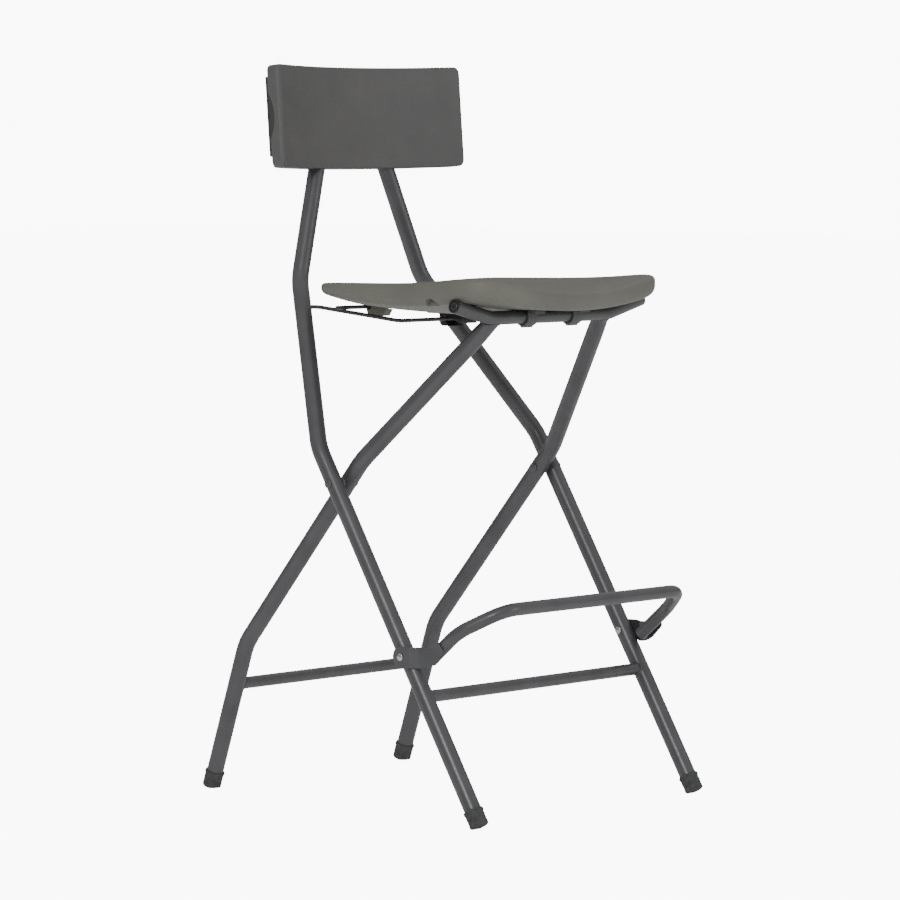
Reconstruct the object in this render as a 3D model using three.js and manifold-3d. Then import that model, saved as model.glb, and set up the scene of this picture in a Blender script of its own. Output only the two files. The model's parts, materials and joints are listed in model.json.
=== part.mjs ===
// Folding bar stool: two crossed tube frames, a saddle seat that turns on the rear frame's
// bowed bar, a wire link to the back posts, a curved backrest and a hinged footrest.
// Millimetres, +Z up, the front faces -Y, origin on the floor under the middle of the whole.
import * as THREE from 'three';
import { mergeVertices } from 'three/addons/utils/BufferGeometryUtils.js';
import Module from 'manifold-3d';

const wasm = await Module();
wasm.setup();

// Shared clearances
const gap = 0.3;              // between pieces that touch
const overrun = 5;            // how far a cutter passes its work

// Frame tubes
const tubeRadius = 12.5;
const tubeWall = 1.5;
const tubeBendRadius = 80;

// Outer frame: front legs that run up into the back posts
const frontFootX = 236;
const frontFootY = -284;
const legBendY = 31.9;
const legBendZ = 519.9;
const postBendX = 130.9;
const postBendY = 173.9;
const postBendZ = 755.1;
const postTopX = 32;
const postTopY = 209.2;

// Inner frame: rear legs that run up to the seat bar
const rearFootX = 206.5;
const rearFootY = 284;
const rearBendLowX = 205.5;
const rearBendLowY = 210.5;
const rearBendLowZ = 221;
const rearBendTopX = 207;
const rearBendTopY = -25.3;
const rearBendTopZ = 501.8;
const rearTopX = 116;         // where the rear tubes meet the seat bar

// Bars between the legs
const lowBarRadius = 8.9;
const frontBarZ = 177.3;
const rearBarZ = 158.8;

// Bowed seat bar
const seatBarRadius = 10;
const seatBarY = -199.5;
const seatBarZ = 709;
const seatBarBendX = 127;
const seatBarBendRadius = 70;
const seatBarEndRise = 18.7;
const seatBarInset = 3;        // bar end inside the seat's side
const plugFlange = 1.6;
const plugLength = 14;

// Pivots of the two frames
const pivotRadius = 4;
const pivotHeadRadius = 7;
const pivotHeadHeight = 3;
const spacerRadius = 7.5;

// Foot caps
const capRadius = 13.9;
const capLength = 25;
const capFloor = 5;
const capLip = 0.9;           // flare of the upper rim
const capEdge = 3;            // rounded lower edge
const capTread = 3;           // how deep the tilted cap is cut flat on the floor

// Footrest
const restRadius = 9.5;
const restPivotZ = 232.5;
const restEndX = 229;
const restEndAhead = 39;
const restEndDrop = 3;
const restCornerX = 205;
const restCornerAhead = 116.5;
const restCornerRise = 69;
const restBendRadius = 30;
const bracketThickness = 2.5;
const bracketHalfWidth = 15;
const bracketArmHalfWidth = 12;
const bracketArmReach = 24;
const bracketStraight = 15;
const bracketCrank = 14;
const restPinRadius = 3;
const restPinHeadRadius = 5.5;
const restPinHeadHeight = 2.2;

// Seat, placed from the seat bar
const seatFront = 65.5;       // ahead of the bar
const seatRear = 315.5;       // behind the bar
const seatFrontHalf = 210;
const seatRearHalf = 178;
const seatFrontCorner = 91;
const seatRearCorner = 67;
const seatFrontBow = 6;
const seatTopEdge = 9;        // roundings of the rim
const seatLowEdge = 12;
const seatLowEdgeFall = 1.5;  // the lower rounding is smaller towards the rear
const seatLand = 14;          // width of the raised rim
const seatUnderLand = 20;
const rimTopSide = 49.3;      // heights from the seat bar's axis
const rimTopSideFall = 5.9;
const rimTopSideBow = 6.3;
const rimTopSideCurl = 5.6;
const rimTopEnd = 36.5;
const rimTopEndRise = 2.5;
const rimLowSide = 15.5;
const rimLowSideRise = 22;
const rimLowEnd = 7.9;
const rimLowEndFall = 0.7;
const archBehindBar = 50;     // small arch in the side's lower edge
const archRadius = 12;
const archInset = 24;
const dishDepth = 20;
const bellyDepth = 11;
const bellyStart = 14;        // belly begins this far behind the bar

// Seat clips round the seat bar
const clipThickness = 3.2;
const clipX = 49;
const clipWidth = 21;
const clipFlange = 13;
const clipNub = 2;

// Wire link and its keeper under the seat
const wireRadius = 3;
const wireBendRadius = 9;
const wirePivotZ = 715.5;
const wireArmX = 118;
const wireRunBehindBar = 185.3;
const wireRunDrop = 9.4;
const keeperHalfWidth = 16.5;
const keeperBack = 14.5;
const keeperFront = 31;
const keeperDepth = 10.5;
const keeperRise = 12;
const keeperCorner = 9;
const mouthSteep = 48;        // degrees below the horizontal, lower lip of the mouth
const mouthShallow = 18;      // degrees, upper lip

// Stop rod that lies on the wire arms, and its lugs
const rodRadius = 3;
const rodHalfLength = 139;
const rodBehindBar = 290;
const lugX = 63;
const lugWidth = 16;
const lugAhead = 12;          // middle of the lug ahead of the rod
const lugHalfLength = 14;
const lugDrop = 10;
const lugTopHalfLength = 16;

// Backrest
const backHalfLength = 197.6;
const backHeight = 146;
const backCentreZ = 995;
const postAboveCentre = 45;    // tops of the posts above the backrest's middle
const postTopZ = backCentreZ + postAboveCentre;
const backStandoff = 17.1;    // front face ahead of the posts' axis
const backLeanRun = 0.083;
const backFrontRadius = 505;
const backDepthCentre = 29.5;
const backDepthEnd = 25;
const backWall = 3.4;
const backEdge = 2.6;
const backFrontFillet = 9;
const backCorner = 7;
const backBorder = 17;
const scoopLength = 70;
const scoopDepth = 11;
const coverProud = 5;
const coverThickness = 4;
const coverBolt = 2.6;
const coverBoltHead = 5.5;
const coverBoltHeadHeight = 2.4;
const coverBoltOffset = 34;

// Counts
const mainSides = 18;
const smallSides = 14;
const wireSides = 10;
const boreSides = 10;
const bendSteps = 4;
const seatBarBendSteps = 3;
const restBendSteps = 5;
const scoopSides = 40;
const arcSteps = 12;
const outlineSteps = 8;
const cornerSteps = 3;
const seatPoints = 14;

// Shares
const weldShare = 0.001;              // of the gap, for merging vertices
const softShare = 1 - Math.SQRT1_2;   // middle point of a rounded edge
const headEdgeShare = 0.3;            // domed head: height of its straight edge
const headShoulderShares = [0.65, 0.85];
const plugShares = [0.6, 0.8];
const dishShares = [0.3, 0.52, 0.7, 0.85];
const bellyShares = [0.8, 0.55, 0.3];
const bellyRiseShare = 0.22;
const topEdgeShare = 0.4;             // of the rim's thickness, where it is thin
const lowEdgeShare = 0.5;
const bellyPowerShare = 0.6;

const V = (x, y, z) => new THREE.Vector3(x, y, z);

// A run of straights joined by round bends; every straight is one step and every bend a few
class BentRun extends THREE.Curve {
  constructor(corners, radius, steps = bendSteps) {
    super();
    this.spans = [];
    let from = corners[0];
    for (let i = 1; i < corners.length - 1; i += 1) {
      const inward = corners[i].clone().sub(corners[i - 1]).normalize();
      const outward = corners[i + 1].clone().sub(corners[i]).normalize();
      const turn = inward.angleTo(outward);
      const cut = radius * Math.tan(turn / 2);
      const start = corners[i].clone().addScaledVector(inward, -cut);
      const side = outward.clone().addScaledVector(inward, -outward.dot(inward)).normalize();
      const centre = start.clone().addScaledVector(side, radius);
      this.spans.push({ from, to: start, steps: 1 });
      this.spans.push({ centre, inward, side, turn, radius, steps });
      from = corners[i].clone().addScaledVector(outward, cut);
    }
    this.spans.push({ from, to: corners[corners.length - 1], steps: 1 });
    this.steps = this.spans.reduce((sum, span) => sum + span.steps, 0);
  }

  find(t) {
    let rest = t * this.steps;
    for (const span of this.spans) {
      if (rest <= span.steps || span === this.spans[this.spans.length - 1]) {
        return { span, share: rest / span.steps };
      }
      rest -= span.steps;
    }
    return null;
  }

  getPoint(t) {
    const { span, share } = this.find(t);
    if (span.from) return span.from.clone().lerp(span.to, share);
    const angle = span.turn * share;
    return span.centre.clone()
      .addScaledVector(span.inward, span.radius * Math.sin(angle))
      .addScaledVector(span.side, -span.radius * Math.cos(angle));
  }

  getTangent(t) {
    const { span, share } = this.find(t);
    if (span.from) return span.to.clone().sub(span.from).normalize();
    const angle = span.turn * share;
    return span.inward.clone().multiplyScalar(Math.cos(angle))
      .addScaledVector(span.side, Math.sin(angle));
  }

  // Steps follow the spans, not the arc length
  getUtoTmapping(u) {
    return u;
  }
}

// Solids
function toSolid(geometry) {
  const bare = geometry.index ? geometry.toNonIndexed() : geometry.clone();
  bare.deleteAttribute('normal');
  bare.deleteAttribute('uv');
  const merged = mergeVertices(bare, gap * weldShare);
  return new wasm.Manifold(new wasm.Mesh({
    numProp: 3,
    vertProperties: new Float32Array(merged.attributes.position.array),
    triVerts: new Uint32Array(merged.index.array),
  }));
}

function toGeometry(solid) {
  const mesh = solid.getMesh();
  const geometry = new THREE.BufferGeometry();
  geometry.setAttribute('position', new THREE.BufferAttribute(mesh.vertProperties, 3));
  geometry.setIndex(new THREE.BufferAttribute(mesh.triVerts, 1));
  return geometry;
}

function circleShape(radius, sides) {
  const points = [];
  for (let i = 0; i < sides; i += 1) {
    const angle = (2 * Math.PI * i) / sides;
    points.push(new THREE.Vector2(radius * Math.cos(angle), radius * Math.sin(angle)));
  }
  return new THREE.Shape(points);
}

function sweep(run, radius, sides, boreRadius = 0) {
  const section = circleShape(radius, sides);
  if (boreRadius > 0) section.holes.push(new THREE.Path(circleShape(boreRadius, boreSides).getPoints()));
  return toSolid(new THREE.ExtrudeGeometry(section, {
    steps: run.steps, bevelEnabled: false, extrudePath: run,
  }));
}

function rodBetween(from, to, radius, sides, boreRadius = 0) {
  return sweep(new BentRun([from, to], radius), radius, sides, boreRadius);
}

// A turned piece: profile points of radius and distance along an axis that starts at a place
function turned(profile, place, axis, sides) {
  const geometry = new THREE.LatheGeometry(profile.map(([r, t]) => new THREE.Vector2(r, t)), sides);
  geometry.applyQuaternion(new THREE.Quaternion().setFromUnitVectors(V(0, 1, 0), axis));
  geometry.translate(place.x, place.y, place.z);
  return toSolid(geometry);
}

// An outline in the side plane, points of y and z, drawn out across X
function sideways(shape, fromX, toX) {
  const geometry = new THREE.ExtrudeGeometry(shape, {
    depth: toX - fromX, bevelEnabled: false, curveSegments: outlineSteps,
  });
  geometry.rotateX(Math.PI / 2);
  geometry.rotateZ(Math.PI / 2);
  geometry.translate(fromX, 0, 0);
  return toSolid(geometry);
}

// Places on the frames
function atHeight(points, z) {
  for (let i = 1; i < points.length; i += 1) {
    const [low, high] = [points[i - 1], points[i]];
    if (z <= high.z || i === points.length - 1) {
      return low.clone().lerp(high, (z - low.z) / (high.z - low.z));
    }
  }
  return null;
}

const outerLine = (side) => [
  V(side * frontFootX, frontFootY, 0),
  V(side * frontFootX, legBendY, legBendZ),
  V(side * postBendX, postBendY, postBendZ),
  V(side * postTopX, postTopY, postTopZ),
];

const innerLine = (side) => [
  V(side * rearFootX, rearFootY, 0),
  V(side * rearBendLowX, rearBendLowY, rearBendLowZ),
  V(side * rearBendTopX, rearBendTopY, rearBendTopZ),
  V(side * rearTopX, seatBarY, seatBarZ),
];

// The frames cross where the leg and the rear tube meet in the side view
function crossing() {
  const [a, b] = outerLine(1);
  const [, c, d] = innerLine(1);
  const leg = b.clone().sub(a);
  const brace = d.clone().sub(c);
  const share = ((c.y - a.y) * brace.z - (c.z - a.z) * brace.y) / (leg.y * brace.z - leg.z * brace.y);
  return a.clone().addScaledVector(leg, share);
}

const pivot = crossing();
const innerPivotX = atHeight(innerLine(1), pivot.z).x;
const restPivot = atHeight(outerLine(1), restPivotZ);
const wirePivot = atHeight(outerLine(1), wirePivotZ);
const wireRun = V(0, seatBarY + wireRunBehindBar, seatBarZ - wireRunDrop);
const legOuterX = frontFootX + tubeRadius;
const legInnerX = frontFootX - tubeRadius;

// Where the tubes end inside the foot caps
function capPlace(points) {
  const axis = points[1].clone().sub(points[0]).normalize();
  const tilt = Math.sqrt(1 - axis.z * axis.z);
  const height = capRadius * tilt - capTread;
  const end = points[0].clone().addScaledVector(axis, height / axis.z);
  return { axis, end };
}

function mainTube(points) {
  const { axis, end } = capPlace(points);
  const start = end.clone().addScaledVector(axis, capFloor + gap);
  const run = new BentRun([start, ...points.slice(1)], tubeBendRadius);
  return { run, solid: sweep(run, tubeRadius, mainSides, tubeRadius - tubeWall) };
}

// Cross bars
const seatSideSlope = (seatFrontHalf - seatRearHalf) / (seatRear + seatFront);
const seatBarEndX = seatFrontHalf - seatFront * seatSideSlope - seatBarInset;
const seatBarSlope = seatBarEndRise / (seatBarEndX - seatBarBendX);

function seatBarLine(extra) {
  const [endX, endZ] = [seatBarEndX + extra, seatBarZ + seatBarEndRise + extra * seatBarSlope];
  return new BentRun([
    V(-endX, seatBarY, endZ),
    V(-seatBarBendX, seatBarY, seatBarZ),
    V(seatBarBendX, seatBarY, seatBarZ),
    V(endX, seatBarY, endZ),
  ], seatBarBendRadius, seatBarBendSteps);
}
const seatBarRun = seatBarLine(0);

function fullTube(points, extra) {
  return sweep(new BentRun(points, tubeBendRadius), tubeRadius + extra, mainSides);
}

function lowBar(lineOf, z) {
  const ends = [-1, 1].map((side) => atHeight(lineOf(side), z));
  let bar = rodBetween(ends[0], ends[1], lowBarRadius, smallSides, lowBarRadius - tubeWall);
  for (const side of [-1, 1]) bar = bar.subtract(fullTube(lineOf(side), gap));
  return bar;
}

function acrossX(place, radius, fromX, toX, sides = smallSides) {
  return rodBetween(V(fromX, place.y, place.z), V(toX, place.y, place.z), radius, sides);
}

// Outer frame tube with its holes for the frame pivot, the footrest pin and the wire
function backTube(side) {
  const { solid } = mainTube(outerLine(side));
  const past = legOuterX + overrun;
  const inside = legInnerX - overrun;
  return solid
    .subtract(acrossX(pivot, pivotRadius + gap, side * inside, side * past))
    .subtract(acrossX(restPivot, restPinRadius + gap, side * inside, side * past))
    .subtract(acrossX(wirePivot, wireRadius + gap, side * wireArmX, side * wirePivot.x, wireSides));
}

function rearTube(side) {
  const { solid } = mainTube(innerLine(side));
  const reach = tubeRadius + overrun;
  return solid
    .subtract(sweep(seatBarRun, seatBarRadius + gap, smallSides))
    .subtract(acrossX(pivot, pivotRadius + gap, side * (innerPivotX - reach), side * (innerPivotX + reach)));
}

// Turned trims: a shank with a domed head at one end or both
function domedHead(radius, height, shank, sign) {
  const [out, up] = headShoulderShares;
  return [
    [shank, 0], [radius, 0], [radius, sign * height * headEdgeShare],
    [radius * out, sign * height * up], [0, sign * height],
  ];
}

function rivet(place, fromX, toX, shankRadius, headRadius, headHeight) {
  const inner = domedHead(headRadius, headHeight, shankRadius, -1).reverse();
  const outer = domedHead(headRadius, headHeight, shankRadius, 1)
    .map(([r, t]) => [r, t + Math.abs(toX - fromX)]);
  const axis = V(Math.sign(toX - fromX), 0, 0);
  return turned([...inner, ...outer], V(fromX, place.y, place.z), axis, smallSides);
}

function frameRivet(side) {
  const inner = innerPivotX - tubeRadius - gap;
  return rivet(pivot, side * inner, side * (legOuterX + gap), pivotRadius, pivotHeadRadius, pivotHeadHeight);
}

function pivotSpacer(side) {
  const inner = innerPivotX + tubeRadius + gap;
  const outer = legInnerX - gap;
  const bore = pivotRadius + gap;
  const thick = outer - inner;
  const profile = [[bore, 0], [spacerRadius, 0], [spacerRadius, thick], [bore, thick], [bore, 0]];
  return turned(profile, V(side * inner, pivot.y, pivot.z), V(side, 0, 0), smallSides);
}

// Rubber foot cap, cut flat where the tilted cap stands on the floor
function footCap(points) {
  const { axis, end } = capPlace(points);
  const bore = tubeRadius + gap;
  const rim = capLength + capFloor;
  const profile = [
    [0, 0], [capRadius - capEdge, 0],
    [capRadius - capEdge * softShare, capEdge * softShare], [capRadius, capEdge],
    [capRadius, rim - 3 * capLip], [capRadius + capLip, rim - 2 * capLip], [capRadius + capLip, rim],
    [bore, rim], [bore, capFloor], [0, capFloor],
  ];
  const cup = turned(profile, end, axis, mainSides);
  const floor = new THREE.BoxGeometry(4 * capRadius, 4 * capRadius, 2 * capRadius);
  floor.translate(end.x, end.y, -capRadius);
  return cup.subtract(toSolid(floor));
}

// End plug pressed into the open end of the seat bar
function barPlug(side) {
  const from = V(side * seatBarEndX, seatBarY, seatBarZ + seatBarEndRise);
  const back = V(side * seatBarBendX, seatBarY, seatBarZ);
  const axis = from.clone().sub(back).normalize();
  const stem = (seatBarRadius - tubeWall) * Math.cos(Math.PI / boreSides) - gap;
  const [edge, flat] = plugShares;
  const profile = [
    [0, -plugLength], [stem, -plugLength], [stem, gap], [seatBarRadius, gap],
    [seatBarRadius, gap + plugFlange * edge], [seatBarRadius * flat, gap + plugFlange], [0, gap + plugFlange],
  ];
  return turned(profile, from, axis, smallSides);
}

// Footrest: a bar bent forward at both ends, on two cranked strip brackets
function restEnd(side) {
  return V(side * restEndX, restPivot.y - restEndAhead, restPivot.z - restEndDrop);
}

function restCorner(side) {
  return V(side * restCornerX, restPivot.y - restCornerAhead, restPivot.z + restCornerRise);
}

function footrestBar() {
  const corners = [restEnd(-1), restCorner(-1), restCorner(1), restEnd(1)];
  const run = new BentRun(corners, restBendRadius, restBendSteps);
  return sweep(run, restRadius, smallSides, restRadius - tubeWall);
}

function bracket(side) {
  const arm = restCorner(1).sub(restEnd(1));
  const up = V(0, arm.y, arm.z).normalize();
  const half = bracketThickness / 2;
  const flatX = legOuterX + gap + half;
  const slope = arm.x / arm.y;
  const armX = restEndX + (restRadius + gap + half) / Math.cos(Math.atan(slope));
  const bendY = restPivot.y - bracketStraight;
  const webY = bendY - bracketCrank;
  const webX = armX + (webY - restEnd(1).y) * slope;
  const tipY = restEnd(1).y + up.y * (bracketArmReach + overrun);
  const tipX = armX + (tipY - restEnd(1).y) * slope;
  const rearY = restPivot.y + bracketHalfWidth + overrun;
  // The strip in plan, drawn as a band along its middle line
  const middle = [[rearY, flatX], [bendY, flatX], [webY, webX], [tipY, tipX]];
  const normals = middle.map((point, i) => {
    const before = middle[Math.max(i - 1, 0)];
    const after = middle[Math.min(i + 1, middle.length - 1)];
    const ahead = new THREE.Vector2(point[0] - before[0], point[1] - before[1]).normalize();
    const next = new THREE.Vector2(after[0] - point[0], after[1] - point[1]).normalize();
    const along = ahead.clone().add(next).normalize();
    const bend = i === 0 ? along.dot(next) : along.dot(ahead);
    return new THREE.Vector2(-along.y, along.x).multiplyScalar(half / bend);
  });
  const near = middle.map(([y, x], i) => new THREE.Vector2(side * (x - normals[i].y), y - normals[i].x));
  const far = middle.map(([y, x], i) => new THREE.Vector2(side * (x + normals[i].y), y + normals[i].x));
  const plan = new THREE.Shape([...near, ...far.reverse()]);
  const tall = 4 * bracketHalfWidth + bracketArmReach;
  const strip = new THREE.ExtrudeGeometry(plan, { depth: tall, bevelEnabled: false });
  strip.translate(0, 0, restPivot.z - tall / 2);
  // The side outline: round at the pivot, then turning up along the arm
  const across = V(0, up.z, -up.y);
  const end = restEnd(1);
  const tip = end.clone().addScaledVector(up, bracketArmReach);
  const upper = tip.clone().addScaledVector(across, bracketArmHalfWidth);
  const lower = tip.clone().addScaledVector(across, -bracketArmHalfWidth);
  const heel = end.clone().addScaledVector(across, -bracketArmHalfWidth);
  const outline = new THREE.Shape();
  outline.moveTo(heel.y, heel.z);
  outline.lineTo(webY, restPivot.z - bracketHalfWidth);
  outline.lineTo(restPivot.y, restPivot.z - bracketHalfWidth);
  outline.absarc(restPivot.y, restPivot.z, bracketHalfWidth, -Math.PI / 2, Math.PI / 2, false);
  outline.lineTo(webY, restPivot.z + bracketHalfWidth);
  outline.lineTo(upper.y, upper.z);
  outline.lineTo(lower.y, lower.z);
  const reach = [side * (restCornerX - overrun), side * (flatX + overrun)].sort((a, b) => a - b);
  return toSolid(strip)
    .intersect(sideways(outline, reach[0], reach[1]))
    .subtract(acrossX(restPivot, restPinRadius + gap, side * legInnerX, side * (flatX + overrun)));
}

function restRivet(side) {
  const outer = legOuterX + 2 * gap + bracketThickness;
  const inner = legInnerX - gap;
  return rivet(restPivot, side * inner, side * outer, restPinRadius, restPinHeadRadius, restPinHeadHeight);
}

// Seat plan, from the rear middle round by the left side
function seatPlan() {
  const front = seatBarY - seatFront;
  const rear = seatBarY + seatRear;
  const frontX = seatFrontHalf - seatFrontCorner * seatSideSlope;
  const rearX = seatRearHalf + seatRearCorner * seatSideSlope;
  const plan = new THREE.Shape();
  plan.moveTo(0, rear);
  plan.lineTo(-seatRearHalf + seatRearCorner, rear);
  plan.quadraticCurveTo(-seatRearHalf, rear, -rearX, rear - seatRearCorner);
  plan.lineTo(-frontX, front + seatFrontCorner);
  plan.quadraticCurveTo(-seatFrontHalf, front, -seatFrontHalf + seatFrontCorner, front);
  plan.quadraticCurveTo(0, front - seatFrontBow, seatFrontHalf - seatFrontCorner, front);
  plan.quadraticCurveTo(seatFrontHalf, front, frontX, front + seatFrontCorner);
  plan.lineTo(rearX, rear - seatRearCorner);
  plan.quadraticCurveTo(seatRearHalf, rear, seatRearHalf - seatRearCorner, rear);
  plan.closePath();
  return plan.getSpacedPoints(4 * seatPoints).slice(0, -1);
}

// Heights over the seat plan, from the seat bar's axis
function seatHeights(x, y) {
  const front = seatBarY - seatFront;
  const rear = seatBarY + seatRear;
  const v = (2 * y - front - rear) / (rear - front);
  const half = (seatRearHalf + seatFrontHalf + (seatRearHalf - seatFrontHalf) * v) / 2;
  const u2 = Math.min((x / half) ** 2, 1);
  const sideTop = rimTopSide - rimTopSideFall * v + rimTopSideBow * v * v - rimTopSideCurl * v ** 3;
  const top = sideTop * u2 + (rimTopEnd + rimTopEndRise * v) * (1 - u2);
  const low = (rimLowSide + rimLowSideRise * v * v) * u2 + (rimLowEnd - rimLowEndFall * v) * (1 - u2);
  const along = THREE.MathUtils.clamp((y - seatBarY - bellyStart) / (seatRear - bellyStart), 0, 1);
  const rise = THREE.MathUtils.smoothstep(along, 0, bellyRiseShare);
  const belly = bellyDepth * rise * (1 - along * along) ** bellyPowerShare * (1 - u2) * (1 - u2);
  const topEdge = Math.min(seatTopEdge, topEdgeShare * (top - low));
  const lowEdge = Math.min(seatLowEdge - seatLowEdgeFall * v, lowEdgeShare * (top - low));
  return { top: seatBarZ + top, low: seatBarZ + low, belly, topEdge, lowEdge };
}

// Seat shell: rings of the plan from the dish over the rim to the belly
function seatBlank() {
  const plan = seatPlan();
  const count = plan.length;
  const centre = new THREE.Vector2(0, seatBarY + (seatRear - seatFront) / 2);
  const inset = (i, by) => {
    const along = plan[(i + 1) % count].clone().sub(plan[(i + count - 1) % count]).normalize();
    return plan[i].clone().add(new THREE.Vector2(-along.y, along.x).multiplyScalar(by));
  };
  const rings = [];
  const ring = (place) => rings.push(plan.map((_, i) => place(i)));
  const land = (i, share) => centre.clone().lerp(inset(i, seatLand), share);
  const underLand = (i, share) => centre.clone().lerp(inset(i, seatUnderLand), share);
  const dished = (point, share) => {
    const { top } = seatHeights(point.x, point.y);
    return V(point.x, point.y, top - dishDepth * (1 - share * share));
  };
  const bellied = (point) => {
    const { low, belly } = seatHeights(point.x, point.y);
    return V(point.x, point.y, low - belly);
  };
  for (const share of dishShares) ring((i) => dished(land(i, share), share));
  ring((i) => dished(land(i, 1), 1));
  for (const angle of [0, Math.PI / 6, Math.PI / 3, Math.PI / 2]) {
    ring((i) => {
      const { topEdge } = seatHeights(plan[i].x, plan[i].y);
      const point = inset(i, topEdge * (1 - Math.sin(angle)));
      const { top } = seatHeights(point.x, point.y);
      return V(point.x, point.y, top - topEdge * (1 - Math.cos(angle)));
    });
  }
  for (const angle of [Math.PI / 2, Math.PI / 3, Math.PI / 6, 0]) {
    ring((i) => {
      const { lowEdge } = seatHeights(plan[i].x, plan[i].y);
      const point = inset(i, lowEdge * (1 - Math.sin(angle)));
      const { low } = seatHeights(point.x, point.y);
      return V(point.x, point.y, low + lowEdge * (1 - Math.cos(angle)));
    });
  }
  ring((i) => bellied(underLand(i, 1)));
  for (const share of bellyShares) ring((i) => bellied(underLand(i, share)));
  const positions = [];
  const triangles = [];
  for (const points of rings) {
    for (const point of points) positions.push(point.x, point.y, point.z);
  }
  const topCentre = positions.length / 3;
  const top = dished(centre, 0);
  positions.push(top.x, top.y, top.z);
  const low = bellied(centre);
  positions.push(low.x, low.y, low.z);
  for (let i = 0; i < count; i += 1) {
    const next = (i + 1) % count;
    triangles.push(topCentre, i, next);
    for (let k = 1; k < rings.length; k += 1) {
      const [a, b] = [(k - 1) * count, k * count];
      triangles.push(a + i, b + i, b + next, a + i, b + next, a + next);
    }
    const last = (rings.length - 1) * count;
    triangles.push(topCentre + 1, last + next, last + i);
  }
  const geometry = new THREE.BufferGeometry();
  geometry.setAttribute('position', new THREE.Float32BufferAttribute(positions, 3));
  geometry.setIndex(triangles);
  return toSolid(geometry);
}

// Room under the seat for the bar: a round channel for its straight part and the clips, a wider
// one behind it for the bowed ends, and the bar's own place in the open stool
function barRoom() {
  const straight = seatBarRadius + gap + clipThickness + gap;
  const bowed = seatBarRadius + 2 * gap;
  const reach = seatFrontHalf + overrun;
  const wide = bowed + seatBarSlope * (reach - seatBarBendX);
  const profile = [
    [0, -reach], [wide, -reach], [bowed, -seatBarBendX],
    [bowed, seatBarBendX], [wide, reach], [0, reach],
  ];
  const at = V(0, seatBarY, seatBarZ);
  const behind = turned(profile, at, V(1, 0, 0), mainSides)
    .trimByPlane([0, 1, 0], seatBarY);
  return acrossX(at, straight, -seatBarBendX, seatBarBendX)
    .add(behind)
    .add(sweep(seatBarLine(plugFlange + overrun), seatBarRadius + gap, smallSides));
}

// Wire link: pins in the posts, two arms and a cross run
const wireEnds = (side) => [
  V(side * wirePivot.x, wirePivot.y, wirePivot.z),
  V(side * wireArmX, wirePivot.y, wirePivot.z),
  V(side * wireArmX, wireRun.y, wireRun.z),
];
const wirePath = new BentRun([...wireEnds(-1), ...wireEnds(1).reverse()], wireBendRadius);

// The stop rod lies on the wire arms in the open stool
function rodPlace() {
  const [, back, front] = wireEnds(1);
  const y = seatBarY + rodBehindBar;
  const share = (y - front.y) / (back.y - front.y);
  const lean = Math.atan2(back.z - front.z, back.y - front.y);
  const z = front.z + (back.z - front.z) * share + (wireRadius + rodRadius + gap) / Math.cos(lean);
  return V(0, y, z);
}
const rodAt = rodPlace();

// Small arch in the lower edge of each side, behind the bar
function sideArch(side) {
  const y = seatBarY + archBehindBar;
  const { low } = seatHeights(side * seatRearHalf, y);
  const [from, to] = [side * (seatFrontHalf - archInset), side * (seatFrontHalf + overrun)];
  return acrossX(V(0, y, low), archRadius, from, to);
}

// Room under the seat for the stop rod, open below it
function rodRoom() {
  const half = rodRadius + gap;
  const reach = rodHalfLength + gap;
  const below = new THREE.Shape();
  below.moveTo(rodAt.y - half, rodAt.z);
  below.lineTo(rodAt.y - half, rodAt.z - lugDrop);
  below.lineTo(rodAt.y + half, rodAt.z - lugDrop);
  below.lineTo(rodAt.y + half, rodAt.z);
  below.closePath();
  return acrossX(rodAt, half, -reach, reach).add(sideways(below, -reach, reach));
}

const blank = seatBlank();
const underSeat = blank.translate([0, 0, -gap]);

function seatShell() {
  return blank
    .subtract(barRoom())
    .subtract(sideArch(-1))
    .subtract(sideArch(1))
    .subtract(sweep(wirePath, wireRadius + gap, wireSides))
    .subtract(rodRoom());
}

// Keeper: a hook that holds the wire's cross run from behind and lets it out forward and down
function keeper() {
  const [y, z] = [wireRun.y, wireRun.z];
  const shape = new THREE.Shape();
  shape.moveTo(y + keeperBack, z + keeperRise);
  shape.lineTo(y - keeperFront, z + keeperRise);
  shape.lineTo(y - keeperFront, z - keeperDepth + keeperCorner);
  shape.quadraticCurveTo(y - keeperFront, z - keeperDepth, y - keeperFront + keeperCorner, z - keeperDepth);
  shape.lineTo(y + keeperBack - keeperCorner, z - keeperDepth);
  shape.quadraticCurveTo(y + keeperBack, z - keeperDepth, y + keeperBack, z - keeperDepth + keeperCorner);
  shape.closePath();
  const mouth = new THREE.Shape();
  const hold = wireRadius + gap;
  const steep = THREE.MathUtils.degToRad(mouthSteep);
  const shallow = THREE.MathUtils.degToRad(mouthShallow);
  const far = keeperFront + keeperBack;
  mouth.moveTo(y + hold * Math.sin(steep), z - hold * Math.cos(steep));
  mouth.absarc(y, z, hold, steep - Math.PI / 2, Math.PI / 2 + shallow, false);
  mouth.lineTo(y - hold * Math.sin(shallow) - far, z + hold * Math.cos(shallow) - far * Math.tan(shallow));
  mouth.lineTo(y - far * Math.cos(steep), z - far * Math.sin(steep) - hold);
  mouth.closePath();
  return sideways(shape, -keeperHalfWidth, keeperHalfWidth)
    .subtract(sideways(mouth, -keeperHalfWidth - overrun, keeperHalfWidth + overrun))
    .subtract(underSeat);
}

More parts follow.
